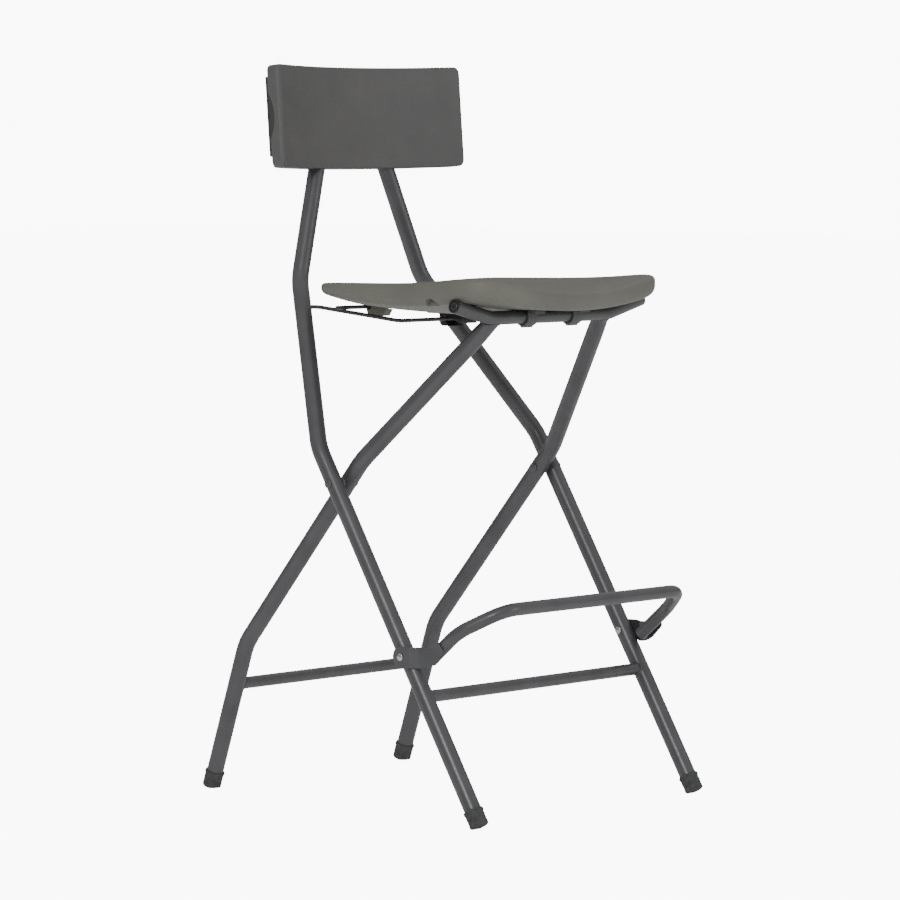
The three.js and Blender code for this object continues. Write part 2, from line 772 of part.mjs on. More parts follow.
// Lug that carries the stop rod
function rodLug(side) {
  const shape = new THREE.Shape();
  const y = rodAt.y - lugAhead;
  const { low, belly } = seatHeights(lugX, y);
  const top = low - belly + overrun;
  shape.moveTo(y + lugTopHalfLength, top);
  shape.lineTo(y - lugTopHalfLength, top);
  shape.lineTo(y - lugTopHalfLength, rodAt.z);
  shape.lineTo(y - lugHalfLength + lugDrop / 2, rodAt.z - lugDrop);
  shape.lineTo(y + lugHalfLength - lugDrop / 2, rodAt.z - lugDrop);
  shape.quadraticCurveTo(y + lugTopHalfLength, rodAt.z - lugDrop, y + lugTopHalfLength, rodAt.z);
  shape.closePath();
  return sideways(shape, side * lugX - lugWidth / 2, side * lugX + lugWidth / 2)
    .subtract(acrossX(rodAt, rodRadius + gap, side * lugX - lugWidth, side * lugX + lugWidth))
    .subtract(underSeat);
}

// Clip: a strap round the bar with a screw flange on each side
function seatClip(side) {
  const inner = seatBarRadius + gap;
  const outer = inner + clipThickness;
  const seatLow = rimLowEnd - gap;
  const tall = seatLow + overrun;
  const flangeLow = seatLow - clipThickness;
  const reach = outer + clipFlange;
  const startAngle = Math.asin(flangeLow / outer);
  const shape = new THREE.Shape();
  shape.moveTo(seatBarY - reach, seatBarZ + tall);
  shape.lineTo(seatBarY - reach, seatBarZ + flangeLow);
  shape.lineTo(seatBarY - outer * Math.cos(startAngle), seatBarZ + flangeLow);
  shape.absarc(seatBarY, seatBarZ, outer, Math.PI - startAngle, 2 * Math.PI + startAngle, false);
  shape.lineTo(seatBarY + reach, seatBarZ + flangeLow);
  shape.lineTo(seatBarY + reach, seatBarZ + tall);
  shape.closePath();
  const [from, to] = [side * clipX - clipWidth / 2, side * clipX + clipWidth / 2];
  const slot = new THREE.Shape();
  slot.moveTo(seatBarY + inner, seatBarZ + tall + overrun);
  slot.lineTo(seatBarY - inner, seatBarZ + tall + overrun);
  slot.absarc(seatBarY, seatBarZ, inner, Math.PI, 2 * Math.PI, false);
  slot.closePath();
  const rib = new THREE.Shape();
  rib.moveTo(seatBarY - 2 * clipNub, seatBarZ - outer + clipNub / 2);
  rib.lineTo(seatBarY - clipNub, seatBarZ - outer - clipNub);
  rib.lineTo(seatBarY + clipNub, seatBarZ - outer - clipNub);
  rib.lineTo(seatBarY + 2 * clipNub, seatBarZ - outer + clipNub / 2);
  rib.closePath();
  return sideways(shape, from, to)
    .add(sideways(rib, from, to))
    .subtract(sideways(slot, from - overrun, to + overrun))
    .subtract(underSeat);
}

// Backrest, drawn upright in plan and then leaned back
const backMiddle = atHeight(outerLine(1), backCentreZ);
const backFaceY = backMiddle.y - backStandoff;
const endSag = backFrontRadius - Math.sqrt(backFrontRadius ** 2 - backHalfLength ** 2);
const endFrontY = -endSag;
const endRearY = endFrontY + backDepthEnd;

function arcThrough(middleY, endY, half) {
  const sag = middleY - endY;
  const radius = (half * half + sag * sag) / (2 * sag);
  return { radius, y: (x) => middleY - radius + Math.sqrt(radius * radius - x * x) };
}

const frontArc = arcThrough(0, endFrontY, backHalfLength);
const rearArc = arcThrough(backDepthCentre, endRearY, backHalfLength);

// A curved slab in plan between two arcs, with its front corners rounded
function slabPlan(half, nearArc, farArc, fillet, rearFillet) {
  const points = [];
  for (let i = 0; i <= arcSteps; i += 1) {
    const x = -half + fillet + (2 * (half - fillet) * i) / arcSteps;
    points.push(new THREE.Vector2(x, nearArc.y(x)));
  }
  const shape = new THREE.Shape(points);
  shape.quadraticCurveTo(half, nearArc.y(half), half, nearArc.y(half) + fillet);
  shape.lineTo(half, farArc.y(half) - rearFillet);
  shape.quadraticCurveTo(half, farArc.y(half), half - rearFillet, farArc.y(half - rearFillet));
  for (let i = 1; i <= arcSteps; i += 1) {
    const x = (half - rearFillet) * (1 - (2 * i) / arcSteps);
    shape.lineTo(x, farArc.y(x));
  }
  shape.quadraticCurveTo(-half, farArc.y(-half), -half, farArc.y(-half) - rearFillet);
  shape.lineTo(-half, nearArc.y(-half) + fillet);
  shape.quadraticCurveTo(-half, nearArc.y(-half), -half + fillet, nearArc.y(-half + fillet));
  return shape;
}

function leaned(geometry) {
  geometry.rotateX(-Math.atan(backLeanRun));
  geometry.translate(0, backFaceY, backCentreZ);
  return toSolid(geometry);
}

function slab(plan, height, edge) {
  const geometry = new THREE.ExtrudeGeometry(plan, {
    depth: height - 2 * edge, bevelEnabled: edge > 0, bevelThickness: edge, bevelSize: edge,
    bevelOffset: -edge, bevelSegments: 2, curveSegments: cornerSteps,
  });
  geometry.translate(0, 0, edge - height / 2);
  return geometry;
}

const shifted = (arc, by) => ({ radius: arc.radius, y: (x) => arc.y(x) + by });

function faceOutline() {
  const [half, tall] = [backHalfLength, backHeight / 2];
  const shape = new THREE.Shape();
  shape.moveTo(-half + backCorner, -tall);
  shape.lineTo(half - backCorner, -tall);
  shape.absarc(half - backCorner, -tall + backCorner, backCorner, -Math.PI / 2, 0, false);
  shape.lineTo(half, tall - backCorner);
  shape.absarc(half - backCorner, tall - backCorner, backCorner, 0, Math.PI / 2, false);
  shape.lineTo(-half + backCorner, tall);
  shape.absarc(-half + backCorner, tall - backCorner, backCorner, Math.PI / 2, Math.PI, false);
  shape.lineTo(-half, -tall + backCorner);
  shape.absarc(-half + backCorner, -tall + backCorner, backCorner, Math.PI, 1.5 * Math.PI, false);
  const deep = endSag + backDepthCentre + 2 * overrun;
  const geometry = new THREE.ExtrudeGeometry(shape, {
    depth: deep, bevelEnabled: false, curveSegments: cornerSteps,
  });
  geometry.rotateX(Math.PI / 2);
  geometry.translate(0, backDepthCentre + overrun, 0);
  return geometry;
}

// Finger scoop in the rear edge of an end wall
function scoop(side) {
  const half = scoopLength / 2;
  const radius = (half * half + scoopDepth * scoopDepth) / (2 * scoopDepth);
  const across = new THREE.CylinderGeometry(radius, radius, 2 * (backWall + gap), scoopSides);
  across.rotateZ(Math.PI / 2);
  across.translate(side * backHalfLength, endRearY - scoopDepth + radius, 0);
  return leaned(across);
}

function posts(extra) {
  return [-1, 1].map((side) => {
    const line = outerLine(side);
    const above = line[3].clone().sub(line[2]).normalize();
    return fullTube([...line.slice(1, 3), line[3].clone().addScaledVector(above, extra)], extra);
  });
}

const coverHalf = backHalfLength - backWall - gap;
const coverHeight = backHeight - 2 * backBorder;

function backShell() {
  const plan = slabPlan(backHalfLength, frontArc, rearArc, backFrontFillet, backEdge);
  const outer = leaned(slab(plan, backHeight, backEdge));
  const room = slabPlan(
    backHalfLength - backWall,
    shifted(frontArc, backWall),
    shifted(rearArc, 2 * overrun),
    backFrontFillet - backWall,
    0,
  );
  const cavity = leaned(slab(room, coverHeight + 2 * gap, 0));
  let shell = outer.intersect(leaned(faceOutline())).subtract(cavity);
  for (const side of [-1, 1]) shell = shell.subtract(scoop(side));
  for (const post of posts(gap)) shell = shell.subtract(post);
  return shell;
}

const coverRearArc = shifted(rearArc, coverProud);

function backCover() {
  const plan = slabPlan(coverHalf, shifted(coverRearArc, -coverThickness), coverRearArc, 0, backEdge);
  let cover = leaned(slab(plan, coverHeight, 0));
  for (const post of posts(gap)) cover = cover.subtract(post);
  for (const bolt of boltPlaces()) {
    cover = cover.subtract(rodBetween(bolt.tip, bolt.far, coverBolt + gap, boreSides));
  }
  return cover;
}

// Bolts through the cover into the posts
function boltPlaces() {
  const lean = V(1, 0, 0);
  const angle = -Math.atan(backLeanRun);
  const places = [];
  for (const side of [-1, 1]) {
    for (const level of [-1, 1]) {
      const { x } = atHeight(outerLine(side), backCentreZ + level * coverBoltOffset);
      const turn = Math.asin(x / coverRearArc.radius);
      const out = V(Math.sin(turn), Math.cos(turn), 0).applyAxisAngle(lean, angle);
      const skin = V(x, coverRearArc.y(x), level * coverBoltOffset).applyAxisAngle(lean, angle)
        .add(V(0, backFaceY, backCentreZ));
      const tip = skin.clone().addScaledVector(out, -(coverThickness + tubeRadius));
      const far = skin.clone().addScaledVector(out, overrun);
      places.push({ skin, tip, far, out });
    }
  }
  return places;
}

function coverBoltSolid({ skin, out }) {
  const shank = coverThickness + tubeRadius;
  const profile = [
    [0, -shank], [coverBolt, -shank],
    ...domedHead(coverBoltHead, coverBoltHeadHeight, coverBolt, 1).map(([r, t]) => [r, t + gap]),
  ];
  return turned(profile, skin, out, boreSides);
}

function backTubeFitted(side) {
  let tube = backTube(side);
  for (const bolt of boltPlaces()) {
    const tip = bolt.tip.clone().addScaledVector(bolt.out, -gap);
    tube = tube.subtract(rodBetween(tip, bolt.far, coverBolt + gap, boreSides));
  }
  return tube;
}

// Materials
function finish(color, roughness, metalness) {
  return new THREE.MeshStandardMaterial({ color, roughness, metalness });
}

const steelPaint = finish(0x58585a, 0.55, 0.35);
const seatPlastic = finish(0x73726a, 0.6, 0);
const backPlastic = finish(0x5d5c5a, 0.6, 0);
const coverPlastic = finish(0x3a3a39, 0.7, 0);
const capRubber = finish(0x2d302d, 0.8, 0);
const zinc = finish(0xc9c9c6, 0.35, 0.9);
const blackWire = finish(0x2e2e2f, 0.45, 0.5);

const stool = new THREE.Group();
stool.name = 'folding_bar_stool';

function put(name, solid, material) {
  const mesh = new THREE.Mesh(toGeometry(solid), material);
  mesh.name = name;
  stool.add(mesh);
}

const sides = [['left', -1], ['right', 1]];
for (const [word, side] of sides) {
  put(`back_tube_${word}`, backTubeFitted(side), steelPaint);
  put(`rear_tube_${word}`, rearTube(side), steelPaint);
  put(`frame_rivet_${word}`, frameRivet(side), zinc);
  put(`pivot_spacer_${word}`, pivotSpacer(side), zinc);
  put(`foot_cap_front_${word}`, footCap(outerLine(side)), capRubber);
  put(`foot_cap_rear_${word}`, footCap(innerLine(side)), capRubber);
  put(`bar_plug_${word}`, barPlug(side), capRubber);
  put(`footrest_bracket_${word}`, bracket(side), steelPaint);
  put(`footrest_rivet_${word}`, restRivet(side), zinc);
  put(`seat_clip_${word}`, seatClip(side), coverPlastic);
  put(`rod_lug_${word}`, rodLug(side), seatPlastic);
}
put('front_cross_bar', lowBar(outerLine, frontBarZ), steelPaint);
put('rear_cross_bar', lowBar(innerLine, rearBarZ), steelPaint);
put('seat_bar', sweep(seatBarRun, seatBarRadius, smallSides, seatBarRadius - tubeWall), steelPaint);
put('footrest_bar', footrestBar(), steelPaint);
put('wire_link', sweep(wirePath, wireRadius, wireSides), blackWire);
put('stop_rod', acrossX(rodAt, rodRadius, -rodHalfLength, rodHalfLength, wireSides), blackWire);
put('link_keeper', keeper(), coverPlastic);
put('seat_shell', seatShell(), seatPlastic);
put('backrest_shell', backShell(), backPlastic);
put('backrest_cover', backCover(), coverPlastic);
boltPlaces().forEach((bolt, i) => put(`cover_bolt_${i + 1}`, coverBoltSolid(bolt), zinc));

// The origin lies on the floor under the middle of the whole
const whole = new THREE.Box3().setFromObject(stool);
stool.position.y = -(whole.min.y + whole.max.y) / 2;

export default stool;
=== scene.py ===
"""Looks of a folding bar stool: coated steel tubes, a moulded saddle seat and backrest,
rubber feet and plated rivets, modelled over the construction's frame."""
import json
import math

import bpy
from mathutils import Matrix, Vector


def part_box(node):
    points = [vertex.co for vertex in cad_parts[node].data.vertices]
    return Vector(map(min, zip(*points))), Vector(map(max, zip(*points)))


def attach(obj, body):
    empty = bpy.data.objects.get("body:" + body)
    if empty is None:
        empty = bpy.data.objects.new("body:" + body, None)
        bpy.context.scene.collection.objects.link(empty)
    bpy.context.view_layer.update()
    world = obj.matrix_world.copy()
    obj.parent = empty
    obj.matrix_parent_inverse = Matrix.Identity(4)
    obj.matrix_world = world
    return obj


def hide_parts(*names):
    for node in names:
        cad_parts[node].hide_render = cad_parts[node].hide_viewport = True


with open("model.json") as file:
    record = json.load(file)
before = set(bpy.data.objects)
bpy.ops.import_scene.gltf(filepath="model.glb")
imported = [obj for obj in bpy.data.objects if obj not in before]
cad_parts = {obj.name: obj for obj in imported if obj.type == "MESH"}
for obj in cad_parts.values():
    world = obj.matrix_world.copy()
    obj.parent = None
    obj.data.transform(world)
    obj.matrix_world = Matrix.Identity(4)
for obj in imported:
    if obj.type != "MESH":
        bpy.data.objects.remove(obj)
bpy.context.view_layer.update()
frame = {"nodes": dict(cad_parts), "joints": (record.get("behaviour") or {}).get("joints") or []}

# Sizes in millimetres, as in the construction: a round thing is given by its radius
MM = 0.001
SIDES = {"left": -1, "right": 1}
ACROSS = Vector((1, 0, 0))
GAP = 0.3
TUBE = 12.5
TUBE_BEND = 80
OUTER_X = 236
INNER_X = 206.83
CROSS_BAR = 8.9
FRONT_BAR_Z = 177.3
REAR_BAR_Z = 158.8
SEAT_BAR = 10
SEAT_BAR_BEND = 70
SEAT_BAR_Y = -199.5
SEAT_BAR_Z = 709
BAR_STRAIGHT = 127
BAR_END_X = 201.5
BAR_RISE = 18.7
BAR_SLOPE = BAR_RISE / (BAR_END_X - BAR_STRAIGHT)

# Corners of the right tubes' middle lines, from the floor up
OUTER_CORNERS = ((OUTER_X, -284, 0), (OUTER_X, 31.9, 519.9), (130.9, 173.9, 755.1), (32, 209.2, 1040))
INNER_CORNERS = ((206.5, 284, 0), (205.5, 210.5, 221), (207, -25.3, 501.8), (116, SEAT_BAR_Y, SEAT_BAR_Z))

# The seat bar's middle tells how far the construction's origin lies from its outlines' origin
bar_low, bar_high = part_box("seat_bar")
SHIFT_Y = (bar_low.y + bar_high.y) / 2 - SEAT_BAR_Y * MM


def at(x, y, z):
    """A place in millimetres as a vector in metres in the shared frame."""
    return Vector((x * MM, y * MM + SHIFT_Y, z * MM))


def along(points, z):
    """The place at a height on a tube's middle line."""
    for start, end in zip(points, points[1:]):
        if z * MM <= end.z or end is points[-1]:
            return start.lerp(end, (z * MM - start.z) / (end.z - start.z))


def outer_line(side):
    """Middle line of a tube that is a front leg below and a post of the backrest above."""
    return [at(side * x, y, z) for x, y, z in OUTER_CORNERS]


def inner_line(side):
    """Middle line of a tube that is a rear leg below and carries the seat bar above."""
    return [at(side * x, y, z) for x, y, z in INNER_CORNERS]


def joint_place(name):
    """A joint's place in the shared frame, in metres."""
    joint = next(j for j in frame["joints"] if j["name"] == name)
    return Vector(joint["pos_m"])


def clamp(t):
    return max(0, min(1, t))


def smoothstep(t):
    t = clamp(t)
    return t * t * (3 - 2 * t)


# Modelling by hand
def deselect():
    if bpy.context.object and bpy.context.object.mode != "OBJECT":
        bpy.ops.object.mode_set(mode="OBJECT")
    bpy.ops.object.select_all(action="DESELECT")


def pick(piece):
    """Makes a piece the only one selected, and the active one."""
    deselect()
    bpy.context.view_layer.objects.active = piece
    piece.select_set(True)


def begin(name):
    """Names the new primitive and opens it for editing."""
    piece = bpy.context.object
    piece.name = name
    piece.data.name = name
    bpy.ops.object.mode_set(mode="EDIT")
    bpy.ops.mesh.select_all(action="SELECT")
    return piece


def reopen(piece):
    """Opens a settled piece for editing again."""
    pick(piece)
    bpy.ops.object.mode_set(mode="EDIT")
    bpy.ops.mesh.select_all(action="SELECT")


def smooth(degrees):
    """Smooths the shading of the picked piece across edges below an angle."""
    bpy.ops.object.shade_smooth_by_angle(angle=math.radians(degrees))


def settle(piece, angle=35):
    """Closes the edit, merges doubles, turns faces out and puts the place into the mesh."""
    bpy.ops.mesh.select_all(action="SELECT")
    bpy.ops.mesh.remove_doubles(threshold=0.00001)
    bpy.ops.mesh.normals_make_consistent(inside=False)
    bpy.ops.object.mode_set(mode="OBJECT")
    bpy.ops.object.transform_apply(location=True, rotation=True, scale=True)
    smooth(angle)
    return piece


def ring(name, place, heading, radius, sides):
    """A ring of edges square to a heading, ready to extrude."""
    deselect()
    turn = heading.to_track_quat("Z", "Y").to_euler()
    bpy.ops.mesh.primitive_circle_add(vertices=sides, radius=radius, location=place, rotation=turn)
    return begin(name)


def extrude(step):
    bpy.ops.mesh.extrude_region_move(TRANSFORM_OT_translate={"value": step})


def cap_ends():
    bpy.ops.mesh.select_all(action="DESELECT")
    bpy.ops.mesh.select_non_manifold(extend=False, use_wire=False, use_multi_face=False,
                                     use_non_contiguous=False, use_verts=False)
    bpy.ops.mesh.fill_holes(sides=0)


def bent_tube(name, corners, radius, bend=0, sides=40, turn_steps=10):
    """A round bar pushed along straights and spun round each bend. The bend is one radius for
    all corners, or one for each."""
    here = corners[0]
    heading = (corners[1] - corners[0]).normalized()
    bends = bend if isinstance(bend, tuple) else (bend,) * (len(corners) - 2)
    piece = ring(name, here, heading, radius * MM, sides)
    for before, corner, after, curve in zip(corners, corners[1:], corners[2:], bends):
        inward = (corner - before).normalized()
        outward = (after - corner).normalized()
        angle = inward.angle(outward)
        trim = curve * MM * math.tan(angle / 2)
        start = corner - inward * trim
        sideways = (outward - inward * outward.dot(inward)).normalized()
        extrude(start - here)
        bpy.ops.mesh.spin(steps=turn_steps, angle=-angle, center=start + sideways * curve * MM,
                          axis=inward.cross(outward).normalized())
        here = corner + outward * trim
    extrude(corners[-1] - here)
    cap_ends()
    return settle(piece, 50)


def turned(name, place, heading, profile, sides=32):
    """A turned piece: rings of a radius at a distance along the heading, pushed and scaled."""
    radius, distance = profile[0]
    centre = place + heading * distance * MM
    piece = ring(name, centre, heading, radius * MM, sides)
    for new_radius, new_distance in profile[1:]:
        extrude(heading * (new_distance - distance) * MM)
        centre = place + heading * new_distance * MM
        share = new_radius / radius
        bpy.ops.transform.resize(value=(share, share, share), center_override=centre)
        radius, distance = new_radius, new_distance
    cap_ends()
    return settle(piece)


def modify(piece, kind, **settings):
    """Adds a modifier, sets it and applies it."""
    pick(piece)
    modifier = piece.modifiers.new(kind.lower(), kind)
    for key, value in settings.items():
        setattr(modifier, key, value)
    bpy.ops.object.modifier_apply(modifier=modifier.name)


def round_edges(piece, width, segments, over):
    """Rounds the edges that turn by more than an angle."""
    modify(piece, "BEVEL", width=width * MM, segments=segments, limit_method="ANGLE",
           angle_limit=math.radians(over))
    smooth(40)


def cut(piece, tool, operation="DIFFERENCE"):
    modify(piece, "BOOLEAN", object=tool, operation=operation, solver="EXACT")
    bpy.data.objects.remove(tool)


def join(name, pieces):
    deselect()
    for piece in pieces:
        piece.select_set(True)
    bpy.context.view_layer.objects.active = pieces[0]
    bpy.ops.object.join()
    pieces[0].name = name
    return pieces[0]


def softened(node, edge):
    """A copy of a construction solid with its flats made whole and its edges rounded."""
    flat_below, edge_over, rows = 3, 38, 3
    deselect()
    piece = frame["nodes"][node].copy()
    piece.data = piece.data.copy()
    piece.parent = None
    for key in list(piece.keys()):
        del piece[key]
    bpy.context.scene.collection.objects.link(piece)
    pick(piece)
    piece = begin(node + "_soft")
    bpy.ops.mesh.remove_doubles(threshold=0.00002)
    bpy.ops.mesh.dissolve_limited(angle_limit=math.radians(flat_below))
    bpy.ops.object.mode_set(mode="OBJECT")
    round_edges(piece, edge, rows, edge_over)
    return piece


def dress(piece, body, slot, finish, *nodes):
    """Gives a finished piece its body and its material, and hides the nodes it stands for. The slot is not
    used.
    """
    piece.data.materials.clear()
    piece.data.materials.append(finish)
    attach(piece, body)
    if nodes:
        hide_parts(*nodes)


# Materials
def linear(code):
    """A colour from its sRGB hex value."""
    parts = [int(code[i:i + 2], 16) / 255 for i in (0, 2, 4)]
    return [c / 12.92 if c <= 0.04045 else ((c + 0.055) / 1.055) ** 2.4 for c in parts] + [1]


def add(tree, kind, settings=None, links=None):
    """One node with its settings and links. The setting named stops holds a ramp's colours."""
    node = tree.nodes.new(kind)
    for key, value in (settings or {}).items():
        if key == "stops":
            for element, (position, code) in zip(node.color_ramp.elements, value):
                element.position = position
                element.color = linear(code)
        elif key in node.inputs:
            node.inputs[key].default_value = value
        else:
            setattr(node, key, value)
    for key, source in (links or {}).items():
        tree.links.new(source, node.inputs[key])
    return node


def start(name):
    """A new material with its tree, its shader and the place on the piece that patterns read."""
    material = bpy.data.materials.new(name)
    material.use_nodes = True
    tree = material.node_tree
    shader = tree.nodes["Principled BSDF"]
    place = add(tree, "ShaderNodeTexCoord").outputs["Object"]
    return material, tree, shader, place


def per_size(size_mm):
    """Noise scale whose features are about this size."""
    return 1 / (size_mm * MM)


def surface(tree, shader, tone, relief, stops, rough, bump):
    """Lays colours over one pattern, and roughness and relief over the same or a finer one.
    The bump is its depth in millimetres and its strength."""
    colour = add(tree, "ShaderNodeValToRGB", {"stops": stops}, {"Fac": tone})
    tree.links.new(colour.outputs["Color"], shader.inputs["Base Color"])
    limits = {"From Min": 0.3, "From Max": 0.7, "To Min": rough[0], "To Max": rough[1]}
    gloss = add(tree, "ShaderNodeMapRange", limits, {"Value": relief})
    tree.links.new(gloss.outputs["Result"], shader.inputs["Roughness"])
    depth, strength = bump
    raised = add(tree, "ShaderNodeBump", {"Strength": strength, "Distance": depth * MM}, {"Height": relief})
    tree.links.new(raised.outputs["Normal"], shader.inputs["Normal"])


def powder_coat():
    """Charcoal textured powder coat on steel tube: a soft, slightly pebbled satin that breaks
    the highlight along the tube, with faint darker clouds."""
    material, tree, shader, place = start("charcoal_powder_coat")
    pebble = add(tree, "ShaderNodeTexNoise", {"Scale": per_size(1.6), "Detail": 3, "Roughness": 0.6},
                 {"Vector": place})
    cloud = add(tree, "ShaderNodeTexNoise", {"Scale": per_size(45), "Detail": 2}, {"Vector": place})
    surface(tree, shader, cloud.outputs["Fac"], pebble.outputs["Fac"],
            [(0.3, "4d4d4f"), (0.7, "57575a")], (0.28, 0.42), (0.16, 0.4))
    shader.inputs["Metallic"].default_value = 0.3
    return material


def blow_moulded(name, dark, light):
    """Blow-moulded polyethylene with a fine leather grain from the mould: matt, with a broad
    soft sheen and faint cloudiness."""
    material, tree, shader, place = start(name)
    grain = add(tree, "ShaderNodeTexVoronoi", {"Scale": per_size(1.3), "Randomness": 1}, {"Vector": place})
    cloud = add(tree, "ShaderNodeTexNoise", {"Scale": per_size(70), "Detail": 3}, {"Vector": place})
    surface(tree, shader, cloud.outputs["Fac"], grain.outputs["Distance"],
            [(0.3, dark), (0.7, light)], (0.5, 0.62), (0.08, 0.35))
    return material


def fine_moulded(name, dark, light):
    """Injection-moulded plastic from a spark-eroded mould: fine, even matt. The grit is about a
    tenth of a millimetre and is drawn coarser, to show."""
    material, tree, shader, place = start(name)
    grit = add(tree, "ShaderNodeTexNoise", {"Scale": per_size(0.9), "Detail": 2}, {"Vector": place})
    surface(tree, shader, grit.outputs["Fac"], grit.outputs["Fac"],
            [(0.3, dark), (0.7, light)], (0.5, 0.66), (0.05, 0.3))
    return material


def black_plastic():
    """Injection-moulded polypropylene, near black, with a slight gloss on its edges. Its grit
    is drawn coarser than the real one, to show."""
    material, tree, shader, place = start("black_polypropylene")
    grit = add(tree, "ShaderNodeTexNoise", {"Scale": per_size(0.8), "Detail": 2}, {"Vector": place})
    surface(tree, shader, grit.outputs["Fac"], grit.outputs["Fac"],
            [(0.3, "141415"), (0.7, "1d1d1e")], (0.24, 0.36), (0.05, 0.25))
    return material


def rubber():
    """Moulded rubber of the feet: dull, with greyer patches of dust."""
    material, tree, shader, place = start("dull_rubber")
    dust = add(tree, "ShaderNodeTexNoise", {"Scale": per_size(5), "Detail": 5, "Roughness": 0.65},
               {"Vector": place})
    surface(tree, shader, dust.outputs["Fac"], dust.outputs["Fac"],
            [(0.35, "323433"), (0.7, "4d4f4e")], (0.7, 0.88), (0.15, 0.35))
    return material


def zinc_plate():
    """Bright zinc plate on formed steel: silvery, with tool marks that spread the glint. The
    marks are drawn coarser than the real ones, to show."""
    material, tree, shader, place = start("bright_zinc_plate")
    marks = add(tree, "ShaderNodeTexNoise", {"Scale": per_size(0.7), "Detail": 3}, {"Vector": place})
    surface(tree, shader, marks.outputs["Fac"], marks.outputs["Fac"],
            [(0.3, "b2b2b0"), (0.7, "d0d0cd")], (0.08, 0.2), (0.03, 0.3))
    shader.inputs["Metallic"].default_value = 1
    return material


def black_wire_coat():
    """Black dipped coat on steel wire: smooth, with slow runs that vary its sheen."""
    material, tree, shader, place = start("black_dipped_wire")
    runs = add(tree, "ShaderNodeTexNoise", {"Scale": per_size(9), "Detail": 3}, {"Vector": place})
    surface(tree, shader, runs.outputs["Fac"], runs.outputs["Fac"],
            [(0.3, "383839"), (0.7, "464647")], (0.3, 0.42), (0.1, 0.2))
    return material


COAT = powder_coat()
SEAT_SKIN = blow_moulded("warm_grey_seat_skin", "62615a", "6a6961")
BACK_SKIN = blow_moulded("grey_backrest_skin", "515050", "585756")
COVER = fine_moulded("dark_moulded_cover", "343433", "3b3b3a")
CLIP = fine_moulded("grey_nylon_clip", "4a4a4b", "535354")
BLACK = black_plastic()
RUBBER = rubber()
ZINC = zinc_plate()
WIRE = black_wire_coat()


# Foot caps
CAP = {"radius": 13.9, "length": 20.5, "floor": 5, "lip": 0.9, "edge": 3, "tread": 3, "groove": 0.45,
       "loose": 0.25}


def cap_place(points):
    """Where a cap starts on a leg's middle line, so that its tread reaches the floor, and the
    line's heading there."""
    axis = (points[1] - points[0]).normalized()
    height = CAP["radius"] * math.sqrt(1 - axis.z ** 2) - CAP["tread"]
    return points[0] + axis * (height * MM / axis.z), axis


def foot_cap(name, points):
    """A rubber cup with a rounded tread, two shallow grip grooves and a rolled upper rim."""
    place, axis = cap_place(points)
    r, lip, edge, inside = CAP["radius"], CAP["lip"], CAP["edge"], TUBE + CAP["loose"]
    rim = CAP["floor"] + CAP["length"]
    profile = [(r * 0.3, 0), (r - edge, 0)]
    for angle in (math.radians(a) for a in (30, 60, 90)):
        profile.append((r - edge * (1 - math.sin(angle)), edge * (1 - math.cos(angle))))
    for share in (0.34, 0.46):
        z, deep = rim * share, r - CAP["groove"]
        profile += [(r, z - 1), (deep, z - 0.6), (deep, z + 0.6), (r, z + 1)]
    profile += [(r, rim - 5), (r + lip * 0.6, rim - 4), (r + lip, rim - 2.8), (r + lip, rim - 1),
                (r + lip * 0.4, rim), (TUBE + 0.6, rim), (inside, rim - 0.8), (inside, rim - 8)]
    piece = turned(name, place, axis, profile, sides=48)
    reopen(piece)
    bpy.ops.mesh.bisect(plane_co=(0, 0, 0), plane_no=(0, 0, 1), use_fill=True, clear_inner=True)
    return settle(piece)


# Frames
FLAT_END = {"length": 38, "deep": 0.74, "wide": 1.2, "cuts": 10}
WELD_SINK = 0.6
WELD = {"thick": 1.5, "thin": 1.2, "ripple": 0.13, "ripple_turn": 2.1}


def flattened(tube, end, axis):
    """Pinches the end of a rear tube to the thickness of the bar it is welded to, which spreads it."""
    reopen(tube)
    for k in range(FLAT_END["cuts"]):
        bpy.ops.mesh.select_all(action="SELECT")
        reach = FLAT_END["length"] * k / (FLAT_END["cuts"] - 1) * MM
        bpy.ops.mesh.bisect(plane_co=end + axis * reach, plane_no=axis)
    bpy.ops.object.mode_set(mode="OBJECT")
    for vertex in tube.data.vertices:
        reach = (vertex.co - end).dot(axis)
        share = smoothstep(1 - reach / MM / FLAT_END["length"])
        centre = end + axis * reach
        away = vertex.co - centre
        deep = Vector((0, away.y, away.z)) * (1 + (FLAT_END["deep"] - 1) * share)
        vertex.co = centre + deep + Vector((away.x * (1 + (FLAT_END["wide"] - 1) * share), 0, 0))


def frame_tubes():
    """The four legs with their caps. The rear tubes are coped to the bar they carry."""
    for word, side in SIDES.items():
        for kind, foot, line, body in (("back", "front", outer_line(side), "back_frame"),
                                       ("rear", "rear", inner_line(side), "rear_frame")):
            end, axis = cap_place(line)
            start_place = end + axis * (CAP["floor"] + 1) * MM
            tube = bent_tube(f"{kind}_leg_tube_{word}", [start_place] + line[1:], TUBE, TUBE_BEND)
            if kind == "rear":
                flattened(tube, line[-1], (line[-2] - line[-1]).normalized())
                cut(tube, bent_tube("cope", seat_bar_line(), SEAT_BAR - WELD_SINK, SEAT_BAR_BEND))
                smooth(50)
            dress(tube, body, "frame_paint", COAT, f"{kind}_tube_{word}")
            cap = foot_cap(f"{kind}_foot_{word}", line)
            dress(cap, body, "foot_rubber", RUBBER, f"foot_cap_{foot}_{word}")


